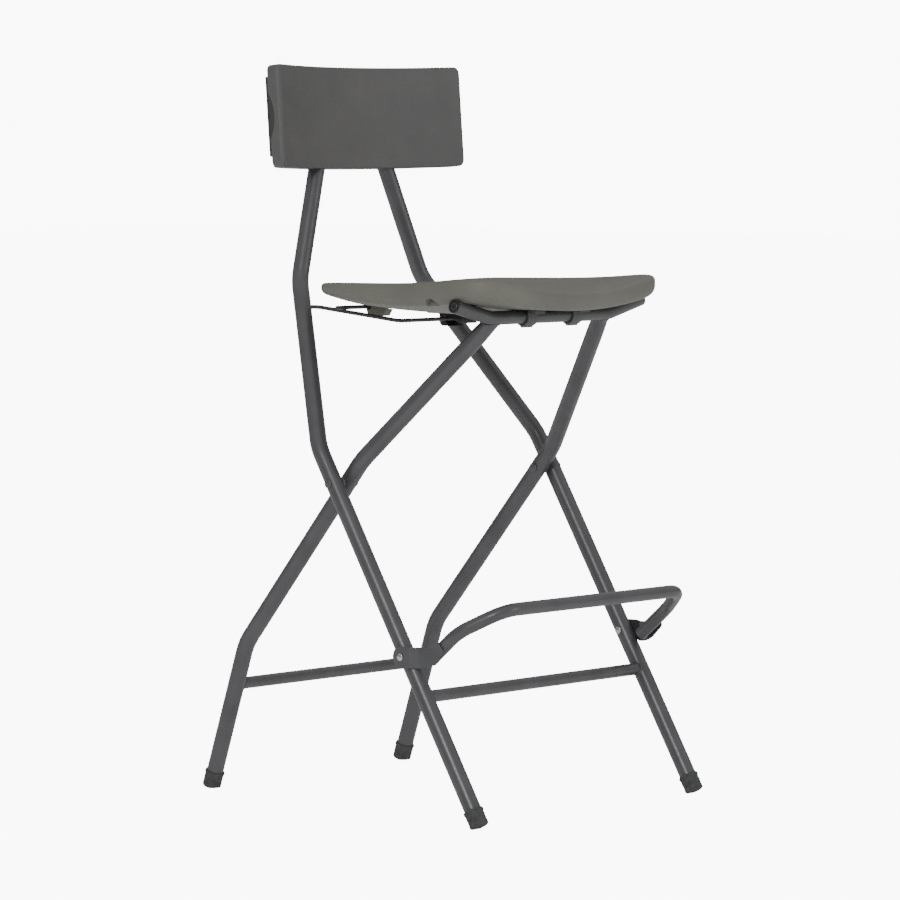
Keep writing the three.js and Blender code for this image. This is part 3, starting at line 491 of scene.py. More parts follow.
def seat_bar_line(extra=0):
    """Middle line of the bowed bar from left to right, with its ends drawn out by an extra."""
    end_x, end_z = BAR_END_X + extra, SEAT_BAR_Z + BAR_RISE + extra * BAR_SLOPE
    return [at(-end_x, SEAT_BAR_Y, end_z), at(-BAR_STRAIGHT, SEAT_BAR_Y, SEAT_BAR_Z),
            at(BAR_STRAIGHT, SEAT_BAR_Y, SEAT_BAR_Z), at(end_x, SEAT_BAR_Y, end_z)]


def bead(name, points, body, thick):
    """A weld bead: a thin round seam along a closed row of points, with slight ripples."""
    deselect()
    data = bpy.data.curves.new(name, "CURVE")
    data.dimensions = "3D"
    data.bevel_depth = thick * MM
    data.bevel_resolution = 3
    spline = data.splines.new("POLY")
    spline.points.add(len(points) - 1)
    spline.use_cyclic_u = True
    for i, (knot, point) in enumerate(zip(spline.points, points)):
        knot.co = (*point, 1)
        knot.radius = 1 + WELD["ripple"] * math.sin(i * WELD["ripple_turn"])
    piece = bpy.data.objects.new(name, data)
    bpy.context.scene.collection.objects.link(piece)
    pick(piece)
    bpy.ops.object.convert(target="MESH")
    bpy.ops.object.shade_smooth()
    dress(bpy.context.object, body, "frame_paint", COAT)


def saddle(main_point, main_axis, main_radius, place, axis, radius, deep=1, wide=1):
    """Where a round or flattened branch meets a round main tube: a row of points on both."""
    steps = 48
    across = axis.cross(main_axis).normalized()
    other = axis.cross(across).normalized()
    points = []
    for i in range(steps):
        angle = 2 * math.pi * i / steps
        rim = across * math.cos(angle) * deep + other * math.sin(angle) * wide
        ray = place + rim * radius * MM
        offset = ray - main_point
        flat_axis = axis - main_axis * axis.dot(main_axis)
        flat = offset - main_axis * offset.dot(main_axis)
        a = flat_axis.length_squared
        b = 2 * flat.dot(flat_axis)
        c = flat.length_squared - (main_radius * MM) ** 2
        points.append(ray + axis * ((-b + math.sqrt(max(b * b - 4 * a * c, 0))) / (2 * a)))
    return points


def cross_bars():
    """The two low bars, each with a weld at both legs."""
    for name, line_of, z, body in (("front_cross_bar", outer_line, FRONT_BAR_Z, "back_frame"),
                                   ("rear_cross_bar", inner_line, REAR_BAR_Z, "rear_frame")):
        ends = [along(line_of(side), z) for side in SIDES.values()]
        inset = ACROSS * (TUBE - 1) * MM
        bar = bent_tube(name + "_tube", [ends[0] + inset, ends[1] - inset], CROSS_BAR)
        dress(bar, body, "frame_paint", COAT, name)
        for (word, side), end in zip(SIDES.items(), ends):
            line = line_of(side)
            leg_axis = (line[1] - line[0]).normalized()
            points = saddle(end, leg_axis, TUBE, end, -side * ACROSS, CROSS_BAR)
            bead(f"{name}_weld_{word}", points, body, WELD["thick"])


# A bar plug from its stem to the crown of its face, as radii at distances past the bar's end
PLUG = ((8, -10), (8, 0.2), (10, 0.2), (10.1, 0.9), (9.7, 1.7), (8.9, 2.1), (8.1, 1.8), (7.5, 0.8),
        (7, 0.8), (6.5, 1.6), (5.6, 2.4), (4.2, 3), (2.4, 3.3), (0.9, 3.4))


def seat_bar():
    """The bowed bar with a plug in each end and a weld on each rear tube."""
    bar = bent_tube("seat_bar_tube", seat_bar_line(), SEAT_BAR, SEAT_BAR_BEND)
    dress(bar, "rear_frame", "frame_paint", COAT, "seat_bar")
    for word, side in SIDES.items():
        bar_line = seat_bar_line()[::-side]
        plug = turned(f"seat_bar_plug_{word}", bar_line[0], (bar_line[0] - bar_line[1]).normalized(), PLUG)
        dress(plug, "rear_frame", "plug_plastic", BLACK, f"bar_plug_{word}")
        line = inner_line(side)
        tube_axis = (line[2] - line[3]).normalized()
        points = saddle(line[3], ACROSS, SEAT_BAR, line[3], tube_axis, TUBE, FLAT_END["deep"],
                        FLAT_END["wide"])
        bead(f"seat_bar_weld_{word}", points, "rear_frame", WELD["thin"])


# Rivets: radius and height of a head, radius and depth of its shank
FRAME_HEAD = {"radius": 6.5, "height": 2.7, "shank": 4, "depth": 6}
FRAME_INNER_HEAD = {"radius": 7, "height": 3, "shank": 4, "depth": 6}
REST_HEAD = {"radius": 5.5, "height": 2.6, "shank": 3, "depth": 5}
WASHER = {"hole": 4.3, "radius": 7.5, "edge": 0.4}


def dome(radius, height, shank, depth):
    """Profile of a domed rivet head on a short shank. Its seat is a little narrower than its rim,
    and the dome starts a quarter of the way up."""
    steps, last, seat_share, rim_share, brim = 7, 84, 0.94, 0.12, 0.25
    angles = [math.radians(last * i / steps) for i in range(steps + 1)]
    head = [(radius * math.cos(a), height * (brim + (1 - brim) * math.sin(a))) for a in angles]
    return [(shank, -depth), (shank, 0), (radius * seat_share, 0), (radius, height * rim_share)] + head


def rivet(kind, word, pivot, outer, inner, finish):
    """Both heads of a rivet as one piece. Each is given by how far out it sits and by its sizes."""
    outward = ACROSS * SIDES[word]
    heads = []
    for name, heading, (x, sizes) in ((f"{kind}_head_{word}", outward, outer),
                                      ("inner_head", -outward, inner)):
        place = Vector((SIDES[word] * x * MM, pivot.y, pivot.z))
        heads.append(turned(name, place, heading, dome(**sizes)))
    dress(join(f"{kind}_heads_{word}", heads), "back_frame", "rivet_zinc", finish, f"{kind}_{word}")


def frame_pivots():
    """The coated rivets where the frames cross, and the washers that keep them apart."""
    pivot = joint_place("frame_fold")
    for word in SIDES:
        rivet("frame_rivet", word, pivot, (OUTER_X + TUBE, FRAME_HEAD),
              (INNER_X - TUBE - GAP, FRAME_INNER_HEAD), COAT)
        low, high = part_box(f"pivot_spacer_{word}")
        thick = (high.x - low.x) / MM
        hole, radius, edge = WASHER["hole"], WASHER["radius"], WASHER["edge"]
        profile = [(hole, 0), (radius - edge, 0), (radius, edge), (radius, thick - edge),
                   (radius - edge, thick), (hole, thick)]
        washer = turned(f"pivot_washer_{word}", Vector((low.x, pivot.y, pivot.z)), ACROSS, profile)
        dress(washer, "back_frame", "rivet_zinc", COAT, f"pivot_spacer_{word}")


# Footrest: corners of its right half as across, ahead of its pivot and above it, and their bends
REST_BAR = 9.5
REST_CORNERS = ((229, 39, -3), (229, 90, 39.8), (191, 143.5, 72))
REST_BENDS = (60, 44)
STRAP = {"round": 15, "half": 10.3, "reach": 36, "corner": 8, "thick": 2.5, "flat": 248.8, "crank": 10,
         "crank_from": 14, "crank_to": 29, "score": 3, "heel": (43.4, -15), "heel_bend": 14,
         "crotch": (41.8, 15), "crotch_bend": 10, "points": 120, "edge": 0.6}


def strap_outline():
    """A strip bracket laid flat, as points ahead of its rivet and above it: round at the rivet,
    then running up along the footrest's arm."""
    end, elbow = (Vector(corner[1:]) for corner in REST_CORNERS[:2])
    arm = (elbow - end).normalized()
    square = Vector((-arm.y, arm.x))
    upper, lower = (end + arm * STRAP["reach"] + square * half for half in (STRAP["half"], -STRAP["half"]))
    heel, crotch, ahead = Vector(STRAP["heel"]), Vector(STRAP["crotch"]), Vector((1, 0))
    corner, heel_bend, crotch_bend = STRAP["corner"], STRAP["heel_bend"], STRAP["crotch_bend"]
    angles = [math.radians(a) for a in range(90, 271, 6)]
    outline = [Vector((math.cos(a), math.sin(a))) * STRAP["round"] for a in angles]
    outline += corner_curve(heel - ahead * heel_bend, heel, heel + arm * heel_bend)
    outline += corner_curve(lower - arm * corner, lower, lower + square * corner)
    outline += corner_curve(upper - square * corner, upper, upper - arm * corner)
    outline += corner_curve(crotch + arm * crotch_bend, crotch, crotch - ahead * crotch_bend)
    return spaced(outline, STRAP["points"])


def strap(side, pivot):
    """A strip bracket: its outline pushed to its thickness, scored and cranked in beside the leg."""
    outline = strap_outline()
    deselect()
    bpy.ops.mesh.primitive_circle_add(vertices=len(outline), fill_type="NGON")
    for vertex, point in zip(bpy.context.object.data.vertices, outline):
        vertex.co = (0, -point.x * MM, point.y * MM)
    piece = begin("footrest_strap")
    extrude(ACROSS * STRAP["thick"] * MM)
    for ahead in range(STRAP["crank_from"], STRAP["crank_to"] + 1, STRAP["score"]):
        bpy.ops.mesh.select_all(action="SELECT")
        bpy.ops.mesh.bisect(plane_co=(0, -ahead * MM, 0), plane_no=(0, 1, 0))
    bpy.ops.object.mode_set(mode="OBJECT")
    for vertex in piece.data.vertices:
        share = (-vertex.co.y / MM - STRAP["crank_from"]) / (STRAP["crank_to"] - STRAP["crank_from"])
        x = STRAP["flat"] - STRAP["crank"] * smoothstep(share)
        vertex.co = Vector((side * (vertex.co.x + x * MM), pivot.y + vertex.co.y, pivot.z + vertex.co.z))
    reopen(piece)
    settle(piece, 30)
    round_edges(piece, STRAP["edge"], 3, 50)
    return piece


def footrest():
    """The bent bar with its two brackets, and the rivets that carry them on the front legs."""
    pivot = joint_place("footrest_fold")
    left, right = ([Vector((side * x * MM, pivot.y - ahead * MM, pivot.z + rise * MM))
                    for x, ahead, rise in REST_CORNERS] for side in SIDES.values())
    bends = REST_BENDS + REST_BENDS[::-1]
    bar = bent_tube("footrest_tube", left + right[::-1], REST_BAR, bends, turn_steps=12)
    dress(bar, "footrest", "frame_paint", COAT, "footrest_bar")
    for word, side in SIDES.items():
        dress(strap(side, pivot), "footrest", "frame_paint", COAT, f"footrest_bracket_{word}")
        rivet("footrest_rivet", word, pivot, (OUTER_X + TUBE + STRAP["thick"] + 2 * GAP, REST_HEAD),
              (OUTER_X - TUBE - GAP, REST_HEAD), ZINC)


# Moulded forms: a ball whose rings are laid on named outlines
def moulded_skin(name, count, rings, top, low):
    """A closed form from a ball: each ring of the ball takes the points of one outline."""
    deselect()
    bands = len(rings) + 1
    bpy.ops.mesh.primitive_uv_sphere_add(segments=count, ring_count=bands, radius=1)
    piece = bpy.context.object
    for vertex in piece.data.vertices:
        band = round(math.acos(max(-1, min(1, vertex.co.z))) / math.pi * bands)
        if band == 0:
            vertex.co = top
        elif band == bands:
            vertex.co = low
        else:
            turn = round(math.atan2(vertex.co.y, vertex.co.x) / (2 * math.pi) * count) % count
            vertex.co = rings[band - 1][turn]
    begin(name)
    return settle(piece, 180)


def spaced(points, count):
    """Points at equal steps along a closed outline."""
    closed = points + [points[0]]
    lengths = [0]
    for a, b in zip(closed, closed[1:]):
        lengths.append(lengths[-1] + (b - a).length)
    result = []
    i = 0
    for k in range(count):
        target = lengths[-1] * k / count
        while lengths[i + 1] < target:
            i += 1
        share = (target - lengths[i]) / max(lengths[i + 1] - lengths[i], 1e-9)
        result.append(closed[i].lerp(closed[i + 1], share))
    return result


def corner_curve(a, corner, b):
    """A parabola that rounds a corner, from a place before it to one after it."""
    steps = 16
    shares = [step / steps for step in range(steps + 1)]
    return [a.lerp(corner, t).lerp(corner.lerp(b, t), t) for t in shares]


def mirrored(points):
    """An outline's points on the other side, in the order that keeps its direction."""
    return [Vector((-p.x, p.y)) for p in reversed(points)]


def inset_point(outline, i, by):
    """A point of an anticlockwise outline moved inwards."""
    tangent = (outline[(i + 1) % len(outline)] - outline[i - 1]).normalized()
    return outline[i] + Vector((-tangent.y, tangent.x)) * by


# Seat: its plan from the bar's line, its edges and its hollows
SEAT = {"front": 65.5, "rear": 315.5, "front_half": 210, "rear_half": 178, "front_corner": 91,
        "rear_corner": 67, "bow": 6, "top_edge": 9, "top_share": 0.4, "low_edge": 12, "low_share": 0.5,
        "low_edge_taper": 1.5, "land": 14, "under_land": 20, "dish": 20, "belly": 11, "belly_start": 14,
        "belly_rise": 0.22, "belly_fall": 0.6}
# Heights over the bar as polynomials from the front edge, -1, to the rear edge, 1
SIDE_TOP, MIDDLE_TOP = (49.3, -5.9, 6.3, -5.6), (36.5, 2.5)
SIDE_UNDER, MIDDLE_UNDER = (15.5, 0, 22), (7.9, -0.7)
# The room for the bar, the arch behind it, and how much larger the lugs are than in the solids
ROOM = {"reach": 215, "straight": 10.6, "clips": 13.9, "extra": 6}
ARCH = {"behind": 50, "radius": 12, "from": 186, "deep": 29}
LUG_GROWTH = 1.3


def seat_outline(count):
    """The seat's plan, anticlockwise from the rear corner of its right side."""
    front, rear = SEAT_BAR_Y - SEAT["front"], SEAT_BAR_Y + SEAT["rear"]
    wide, narrow = SEAT["front_half"], SEAT["rear_half"]
    slope = (wide - narrow) / (rear - front)
    turn = SEAT["rear_corner"]
    rear_right = corner_curve(Vector((narrow + turn * slope, rear - turn)), Vector((narrow, rear)),
                              Vector((narrow - turn, rear)))
    turn = SEAT["front_corner"]
    front_right = corner_curve(Vector((wide - turn, front)), Vector((wide, front)),
                               Vector((wide - turn * slope, front + turn)))
    front_left = mirrored(front_right)
    bow = corner_curve(front_left[-1], Vector((0, front - SEAT["bow"])), front_right[0])
    return spaced(rear_right + mirrored(rear_right) + front_left + bow[1:-1] + front_right, count)


def polynomial(factors, v):
    """The sum of the factors on rising powers of a value."""
    return sum(factor * v ** power for power, factor in enumerate(factors))


def seat_heights(point):
    """Top, underside, belly and edge sizes over a place of the plan, in millimetres."""
    front, rear = SEAT_BAR_Y - SEAT["front"], SEAT_BAR_Y + SEAT["rear"]
    v = (2 * point.y - front - rear) / (rear - front)
    half = (SEAT["rear_half"] + SEAT["front_half"] + (SEAT["rear_half"] - SEAT["front_half"]) * v) / 2
    u2 = min((point.x / half) ** 2, 1)
    top = polynomial(SIDE_TOP, v) * u2 + polynomial(MIDDLE_TOP, v) * (1 - u2)
    under = polynomial(SIDE_UNDER, v) * u2 + polynomial(MIDDLE_UNDER, v) * (1 - u2)
    t = clamp((point.y - SEAT_BAR_Y - SEAT["belly_start"]) / (SEAT["rear"] - SEAT["belly_start"]))
    belly = SEAT["belly"] * smoothstep(t / SEAT["belly_rise"]) * (1 - t * t) ** SEAT["belly_fall"]
    belly *= (1 - u2) ** 2
    low_edge = SEAT["low_edge"] - SEAT["low_edge_taper"] * v
    # Where the seat is thin, an edge takes no more than a share of its thickness
    thick = top - under
    edges = min(SEAT["top_edge"], SEAT["top_share"] * thick), min(low_edge, SEAT["low_share"] * thick)
    return SEAT_BAR_Z + top, SEAT_BAR_Z + under, belly, edges


def seat_blank():
    """The seat as one skin: the dish, the rolled rim and the belly under it."""
    count = 160
    outline = seat_outline(count)
    centre = Vector((0, SEAT_BAR_Y + (SEAT["rear"] - SEAT["front"]) / 2))

    def place(share, land, top_side):
        result = []
        for i in range(count):
            point = centre.lerp(inset_point(outline, i, land), share)
            top, under, belly, _ = seat_heights(point)
            height = top - SEAT["dish"] * (1 - share ** 2) if top_side else under - belly
            result.append(at(point.x, point.y, height))
        return result

    def rolled(degrees, top_side):
        result = []
        sine, cosine = math.sin(math.radians(degrees)), math.cos(math.radians(degrees))
        for i in range(count):
            edge = seat_heights(outline[i])[3][0 if top_side else 1]
            point = inset_point(outline, i, edge * (1 - sine))
            top, under, _, _ = seat_heights(point)
            lift = edge * (1 - cosine)
            result.append(at(point.x, point.y, top - lift if top_side else under + lift))
        return result

    shares = [k / 18 for k in range(1, 18)] + [0.97, 0.985, 1]
    rings = [place(share, SEAT["land"], True) for share in shares]
    rings += [rolled(angle, True) for angle in range(0, 91, 10)]
    rings += [rolled(angle, False) for angle in range(90, -1, -10)]
    rings += [place(1 - k / 14, SEAT["under_land"], False) for k in range(14)]
    top, under, belly, _ = seat_heights(centre)
    middle = [at(centre.x, centre.y, height) for height in (top - SEAT["dish"], under - belly)]
    return moulded_skin("saddle_seat", count, rings, *middle)


def bar_room():
    """The room under the seat for the bar: round for its straight part and the clips, a wider
    half behind it for the bowed ends, and the bar's own place."""
    reach, radius, clips = ROOM["reach"], ROOM["straight"], ROOM["clips"]
    wide = radius + BAR_SLOPE * (reach - BAR_STRAIGHT)
    profile = [(wide, 0), (radius, reach - BAR_STRAIGHT), (radius, reach + BAR_STRAIGHT), (wide, 2 * reach)]
    room = turned("bar_room", at(-reach, SEAT_BAR_Y, SEAT_BAR_Z), ACROSS, profile, sides=96)
    reopen(room)
    bpy.ops.mesh.bisect(plane_co=at(0, SEAT_BAR_Y, SEAT_BAR_Z), plane_no=(0, 1, 0), use_fill=True,
                        clear_inner=True)
    settle(room)
    clip_room = turned("clip_room", at(-BAR_STRAIGHT, SEAT_BAR_Y, SEAT_BAR_Z), ACROSS,
                       [(clips, 0), (clips, 2 * BAR_STRAIGHT)], sides=96)
    cut(room, clip_room, "UNION")
    bar_place = bent_tube("bar_place", seat_bar_line(ROOM["extra"]), SEAT_BAR + GAP, SEAT_BAR_BEND, sides=48)
    cut(room, bar_place, "UNION")
    return room


def side_arch(side):
    """A small arch in the lower edge of one side, behind the bar."""
    place = Vector((side * SEAT["rear_half"], SEAT_BAR_Y + ARCH["behind"]))
    under = seat_heights(place)[1]
    return turned("side_arch", at(side * ARCH["from"], place.y, under), ACROSS * side,
                  [(ARCH["radius"], 0), (ARCH["radius"], ARCH["deep"])], sides=48)


# Wire link and stop rod, which are both of the same wire
WIRE_ROD = 3
WIRE_BEND = 9
WIRE_ROOM = 3.4
LINK = {"post": 148.6, "arm": 118, "behind_bar": 185.3, "below_bar": 9.4}
ROD_SLOT = 10


def wire_line():
    """Middle line of the wire link: from the left post along its arm to the run and back."""
    pivot = joint_place("link_swing")
    run = at(0, SEAT_BAR_Y + LINK["behind_bar"], SEAT_BAR_Z - LINK["below_bar"])
    left, right = ([Vector((side * x * MM, place.y, place.z))
                    for x, place in ((LINK["post"], pivot), (LINK["arm"], pivot), (LINK["arm"], run))]
                   for side in SIDES.values())
    return left + right[::-1]


def rod_ends(extra=0):
    """Both ends of the stop rod, drawn out by an extra."""
    low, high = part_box("stop_rod")
    middle = (low + high) / 2
    return [Vector((x, middle.y, middle.z)) for x in (low.x - extra * MM, high.x + extra * MM)]


def rod_room():
    """The round place of the stop rod, open below."""
    loose = WIRE_ROOM - WIRE_ROD
    room = bent_tube("rod_room", rod_ends(loose), WIRE_ROOM, sides=24)
    low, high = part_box("stop_rod")
    deselect()
    bpy.ops.mesh.primitive_cube_add(size=1, location=(low + high) / 2 - Vector((0, 0, ROD_SLOT / 2 * MM)))
    slot = begin("rod_slot")
    bpy.ops.transform.resize(value=(high.x - low.x + 2 * loose * MM, 2 * WIRE_ROOM * MM, ROD_SLOT * MM))
    cut(room, settle(slot), "UNION")
    return room


def grown_lug(node):
    """A rod lug, made larger about its rod, as in the photo."""
    lug = softened(node, 1)
    low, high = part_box("stop_rod")
    reopen(lug)
    bpy.ops.transform.resize(value=(1, LUG_GROWTH, LUG_GROWTH), center_override=(low + high) / 2)
    bpy.ops.object.mode_set(mode="OBJECT")
    return lug


def seat():
    """The seat with its rooms cut, the rod and the wire under it, and what holds them."""
    blank = seat_blank()
    cut(blank, bar_room())
    for side in SIDES.values():
        cut(blank, side_arch(side))
    cut(blank, bent_tube("wire_room", wire_line(), WIRE_ROOM, WIRE_BEND, sides=24))
    cut(blank, rod_room())
    smooth(32)
    dress(blank, "seat", "seat_plastic", SEAT_SKIN, "seat_shell")
    rod = bent_tube("stop_rod_bar", rod_ends(), WIRE_ROD, sides=24)
    dress(rod, "seat", "wire_black", WIRE, "stop_rod")
    wire = bent_tube("link_wire", wire_line(), WIRE_ROD, WIRE_BEND, sides=24)
    dress(wire, "wire_link", "wire_black", WIRE, "wire_link")
    for node, edge, finish in (("seat_clip_left", 0.6, CLIP), ("seat_clip_right", 0.6, CLIP),
                               ("link_keeper", 0.8, BLACK)):
        dress(softened(node, edge), "seat", "plug_plastic", finish, node)
    for word in SIDES:
        dress(grown_lug(f"rod_lug_{word}"), "seat", "seat_plastic", SEAT_SKIN, f"rod_lug_{word}")


# Backrest: the shell with its edges along the long sides and at the ends, its hollow and scoops
BACK_Z = 992.8
BACK_LEAN = 0.083
BACK_HALF = 197.6
BACK_TALL = 150.4
BACK_STANDOFF = 17.1
BACK_FRONT_R = 505
BACK_DEPTH = 29.5
BACK_END_DEPTH = 25
BACK_EDGE = {"corner": 10, "long": 2.6, "front_end": 9, "rear_end": 3.2}
HOLLOW = {"wall": 3.4, "rim": 16.7, "open": 12}
SCOOP = {"half": 35, "deep": 11, "reach": 3.8}
POST_ROOM = TUBE + 0.4
PLATE = {"inset": 3.7, "rim": 17, "proud": 5, "thick": 4, "edge": 1.4}
LIP = {"inset": 0.3, "wall": 2.5, "front": -14, "rear": 2, "past": 2}


def arc_through(middle, end, half):
    """A shallow arc given by its middle and its ends."""
    sag = middle - end
    radius = (half * half + sag * sag) / (2 * sag)
    return lambda x: middle - radius + math.sqrt(radius * radius - x * x)


def moved(arc, by):
    """An arc of the backrest moved to the rear."""
    return lambda x: arc(x) + by


END_SAG = BACK_FRONT_R - math.sqrt(BACK_FRONT_R ** 2 - BACK_HALF ** 2)
front_arc = arc_through(0, -END_SAG, BACK_HALF)
rear_arc = arc_through(BACK_DEPTH, -END_SAG + BACK_END_DEPTH, BACK_HALF)


def leaned(x, y, z):
    """A place of the upright backrest, leaned back and put on the posts."""
    face = along(outer_line(1), BACK_Z).y / MM - SHIFT_Y / MM - BACK_STANDOFF
    lean = math.atan(BACK_LEAN)
    depth = face + y * math.cos(lean) + z * math.sin(lean)
    return at(x, depth, BACK_Z - y * math.sin(lean) + z * math.cos(lean))


def rounded_outline(half, tall, corner, count):
    """An upright rectangle with round corners, anticlockwise."""
    steps = 8
    points = []
    for cx, cz, first in ((half - corner, tall - corner, 0), (-half + corner, tall - corner, 90),
                          (-half + corner, -tall + corner, 180), (half - corner, -tall + corner, 270)):
        for step in range(steps + 1):
            angle = math.radians(first + step * 90 / steps)
            points.append(Vector((cx + corner * math.cos(angle), cz + corner * math.sin(angle))))
    return spaced(points, count)


def bent_slab(name, half, near, far, tall):
    """A curved slab between two arcs: a grid pushed back by the depth and laid on the arcs."""
    deselect()
    bpy.ops.mesh.primitive_grid_add(x_subdivisions=48, y_subdivisions=2, size=2)
    piece = begin(name)
    extrude(Vector((0, 0, 1)))
    bpy.ops.object.mode_set(mode="OBJECT")
    for vertex in piece.data.vertices:
        x = vertex.co.x * half
        y = far(x) if vertex.co.z > 0.5 else near(x)
        vertex.co = leaned(x, y, vertex.co.y * tall)
    reopen(piece)
    return settle(piece)


def scoop(side):
    """The round tool that hollows the rear edge of an end for the fingers."""
    half, deep, reach = SCOOP["half"], SCOOP["deep"], SCOOP["reach"]
    radius = (half * half + deep * deep) / (2 * deep)
    middle = leaned(side * BACK_HALF, -END_SAG + BACK_END_DEPTH - deep + radius, 0)
    return turned("scoop", middle - ACROSS * reach * MM, ACROSS, [(radius, 0), (radius, 2 * reach)],
                  sides=128)


def post_room(side):
    """The room for one post in the shell and its cover."""
    return bent_tube("post_room", outer_line(side)[1:], POST_ROOM, TUBE_BEND)


def backrest_blank():
    """The backrest as one skin: a curved face and back with rolled edges between them."""
    count = 192
    outline = rounded_outline(BACK_HALF, BACK_TALL / 2, BACK_EDGE["corner"], count)

    def edge_size(i, front):
        """Edges are small along the top and bottom, and large on the front of the two ends."""
        tangent = (outline[(i + 1) % count] - outline[i - 1]).normalized()
        end = BACK_EDGE["front_end" if front else "rear_end"]
        return BACK_EDGE["long"] + (end - BACK_EDGE["long"]) * smoothstep(abs(tangent.y))

    def face(share, front):
        result = []
        for i in range(count):
            point = inset_point(outline, i, edge_size(i, front)) * share
            arc = front_arc if front else rear_arc
            result.append(leaned(point.x, arc(point.x), point.y))
        return result

    def rolled(degrees, front):
        result = []
        for i in range(count):
            edge = edge_size(i, front)
            point = inset_point(outline, i, edge * (1 - math.sin(math.radians(degrees))))
            lift = edge * (1 - math.cos(math.radians(degrees)))
            x = max(-BACK_HALF, min(BACK_HALF, point.x))
            y = front_arc(x) + lift if front else rear_arc(x) - lift
            result.append(leaned(point.x, y, point.y))
        return result

    rings = [face(k / 16, True) for k in range(1, 16)]
    rings += [rolled(angle, True) for angle in range(0, 91, 10)]
    rings += [rolled(angle, False) for angle in range(90, -1, -15)]
    rings += [face(1 - k / 16, False) for k in range(1, 16)]
    return moulded_skin("backrest_moulding", count, rings, leaned(0, 0, 0), leaned(0, BACK_DEPTH, 0))


def backrest():
    """The shell: hollowed from behind, scooped at both ends and open for the posts."""
    shell = backrest_blank()
    room = bent_slab("room", BACK_HALF - HOLLOW["wall"], moved(front_arc, HOLLOW["wall"]),
                     moved(rear_arc, HOLLOW["open"]), BACK_TALL / 2 - HOLLOW["rim"])
    cut(shell, room)
    for side in SIDES.values():
        cut(shell, scoop(side))
        cut(shell, post_room(side))
    smooth(38)
    dress(shell, "back_frame", "backrest_plastic", BACK_SKIN, "backrest_shell")


def cover_lip(half, tall):
    """The cover's lip, which stands in the shell's open back and shows dark in the two scoops."""
    front, rear, past = LIP["front"], LIP["rear"], LIP["past"]
    inner = LIP["inset"] + LIP["wall"]
    lip = bent_slab("cover_lip", half - LIP["inset"], moved(rear_arc, front), moved(rear_arc, rear),
                    tall - LIP["inset"])
    cut(lip, bent_slab("lip_room", half - inner, moved(rear_arc, front - past), moved(rear_arc, rear + past),
                       tall - inner))
    return lip


def cover():
    """The rear cover with its lip, and the four bolts that hold it to the posts."""
    half, tall = BACK_HALF - PLATE["inset"], BACK_TALL / 2 - PLATE["rim"]
    plate = bent_slab("backrest_back_cover", half, moved(rear_arc, PLATE["proud"] - PLATE["thick"]),
                      moved(rear_arc, PLATE["proud"]), tall)
    cut(plate, cover_lip(half, tall), "UNION")
    for side in SIDES.values():
        cut(plate, post_room(side))
    round_edges(plate, PLATE["edge"], 4, 50)
    dress(plate, "back_frame", "cover_plastic", COVER, "backrest_cover")
    for i in range(1, 5):
        bolt = softened(f"cover_bolt_{i}", 0.3)
        dress(bolt, "back_frame", "rivet_zinc", ZINC, f"cover_bolt_{i}")


# Room, light and camera: strengths of the plain light and of the white that the camera sees
ROOM_LIGHT = {"low": 0.24, "overhead": 0.82, "overhead_from": 0.8, "floor_seen": 9, "walls_seen": 10}
AIM = Vector((0, 0, 0.55))
SOFTBOXES = (("key_softbox", (-3.95, -2.25, 2.5), 0.9, 74), ("fill_softbox", (1.8, -4.4, 1.6), 2.0, 30))


def white_to_camera(tree, plain, seen):
    """A strength that is brighter for what the camera sees. The plain one, for light, is a value
    or another node's output."""
    path = add(tree, "ShaderNodeLightPath")
    node = add(tree, "ShaderNodeMapRange", {"To Max": seen}, {"Value": path.outputs["Is Camera Ray"]})
    if isinstance(plain, float):
        node.inputs["To Min"].default_value = plain
    else:
        tree.links.new(plain, node.inputs["To Min"])
    return node.outputs["Result"]


def pale_floor():
    """A painted floor, matt and almost white, with faint clouds a metre wide."""
    deselect()
    bpy.ops.mesh.primitive_plane_add(size=60)
    floor = bpy.context.object
    floor.name = "pale_floor"
    material, tree, shader, place = start("pale_floor_paint")
    cloud = add(tree, "ShaderNodeTexNoise", {"Scale": per_size(1250)}, {"Vector": place})
    colour = add(tree, "ShaderNodeValToRGB", {"stops": [(0.3, "e8e8e7"), (0.7, "ececeb")]},
                 {"Fac": cloud.outputs["Fac"]})
    tree.links.new(colour.outputs["Color"], shader.inputs["Base Color"])
    shader.inputs["Roughness"].default_value = 0.9
    shader.inputs["Emission Color"].default_value = (1, 1, 1, 1)
    strength = white_to_camera(tree, ROOM_LIGHT["low"], ROOM_LIGHT["floor_seen"])
    tree.links.new(strength, shader.inputs["Emission Strength"])
    floor.data.materials.append(material)


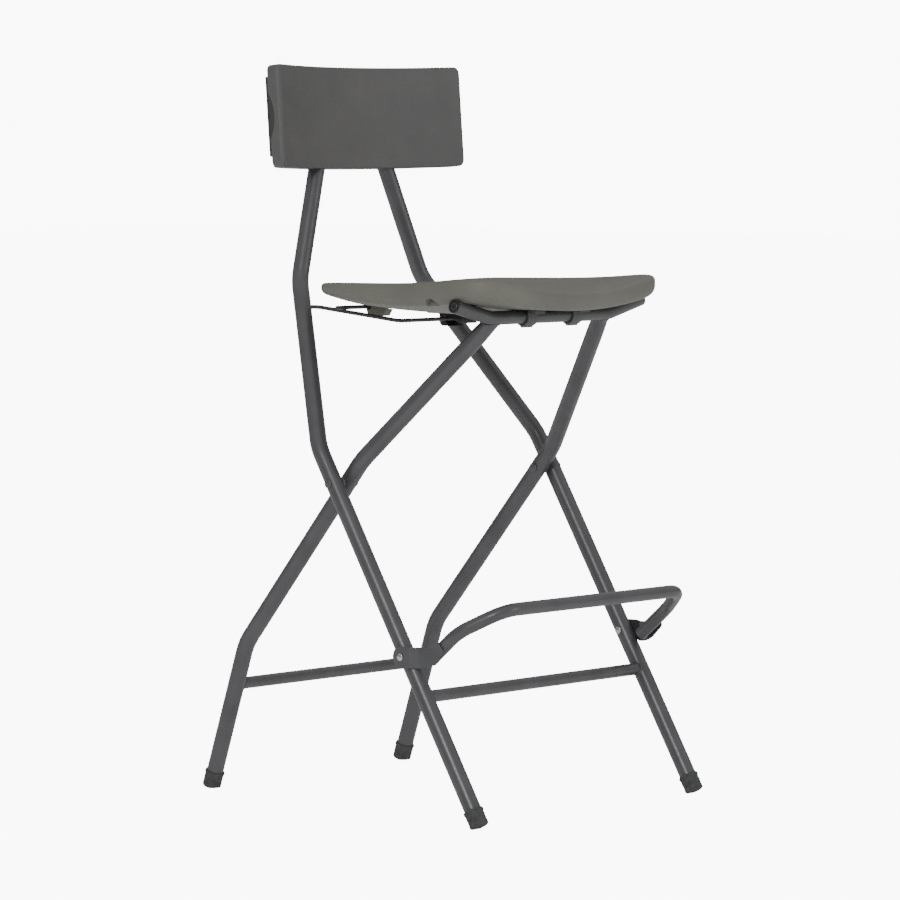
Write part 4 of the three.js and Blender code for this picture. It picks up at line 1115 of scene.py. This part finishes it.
def soft_room():
    """White all round for the camera. Its light is weak at the horizon and strongest overhead."""
    world = bpy.data.worlds.new("soft_room")
    world.use_nodes = True
    tree = world.node_tree
    tree.nodes["Background"].inputs["Color"].default_value = (1, 1, 1, 1)
    heading = add(tree, "ShaderNodeTexCoord").outputs["Generated"]
    rise = add(tree, "ShaderNodeSeparateXYZ", links={"Vector": heading}).outputs["Z"]
    limits = {"From Min": 0, "From Max": ROOM_LIGHT["overhead_from"],
              "To Min": ROOM_LIGHT["low"], "To Max": ROOM_LIGHT["overhead"]}
    light = add(tree, "ShaderNodeMapRange", limits, {"Value": rise}).outputs["Result"]
    strength = white_to_camera(tree, light, ROOM_LIGHT["walls_seen"])
    tree.links.new(strength, tree.nodes["Background"].inputs["Strength"])
    bpy.context.scene.world = world


def softboxes():
    """A small key light from the left and a wide fill from the front, both aimed at the stool."""
    for name, place, size, power in SOFTBOXES:
        light = bpy.data.lights.new(name, "AREA")
        light.size = size
        light.energy = power
        lamp = bpy.data.objects.new(name, light)
        bpy.context.scene.collection.objects.link(lamp)
        lamp.location = place
        lamp.rotation_euler = (AIM - Vector(place)).to_track_quat("-Z", "Y").to_euler()


# The photograph's width and its lens, both in pixels, and where the camera stands
PHOTO_WIDTH = 900
PHOTO_LENS = 4427
SENSOR = 36
EYE = {"place": (-4780.9, -4389.2, 963.1), "azimuth": -47.49, "pitch": 4.03, "roll": 0.13}


def camera():
    """The photograph's view: a long lens from the front left, slightly above."""
    azimuth, pitch, roll = (math.radians(EYE[key]) for key in ("azimuth", "pitch", "roll"))
    data = bpy.data.cameras.new("photo_camera")
    data.sensor_width = SENSOR
    data.lens = SENSOR * PHOTO_LENS / PHOTO_WIDTH
    data.clip_end = 100
    look = Vector((-math.sin(azimuth) * math.cos(pitch), math.cos(azimuth) * math.cos(pitch),
                   -math.sin(pitch)))
    eye = bpy.data.objects.new("photo_camera", data)
    bpy.context.scene.collection.objects.link(eye)
    turn = look.to_track_quat("-Z", "Y").to_matrix().to_4x4() @ Matrix.Rotation(roll, 4, "Z")
    eye.matrix_world = Matrix.Translation(at(*EYE["place"])) @ turn
    bpy.context.scene.camera = eye


frame_tubes()
cross_bars()
seat_bar()
frame_pivots()
footrest()
seat()
backrest()
cover()
pale_floor()
soft_room()
softboxes()
camera()

bpy.context.view_layer.update()
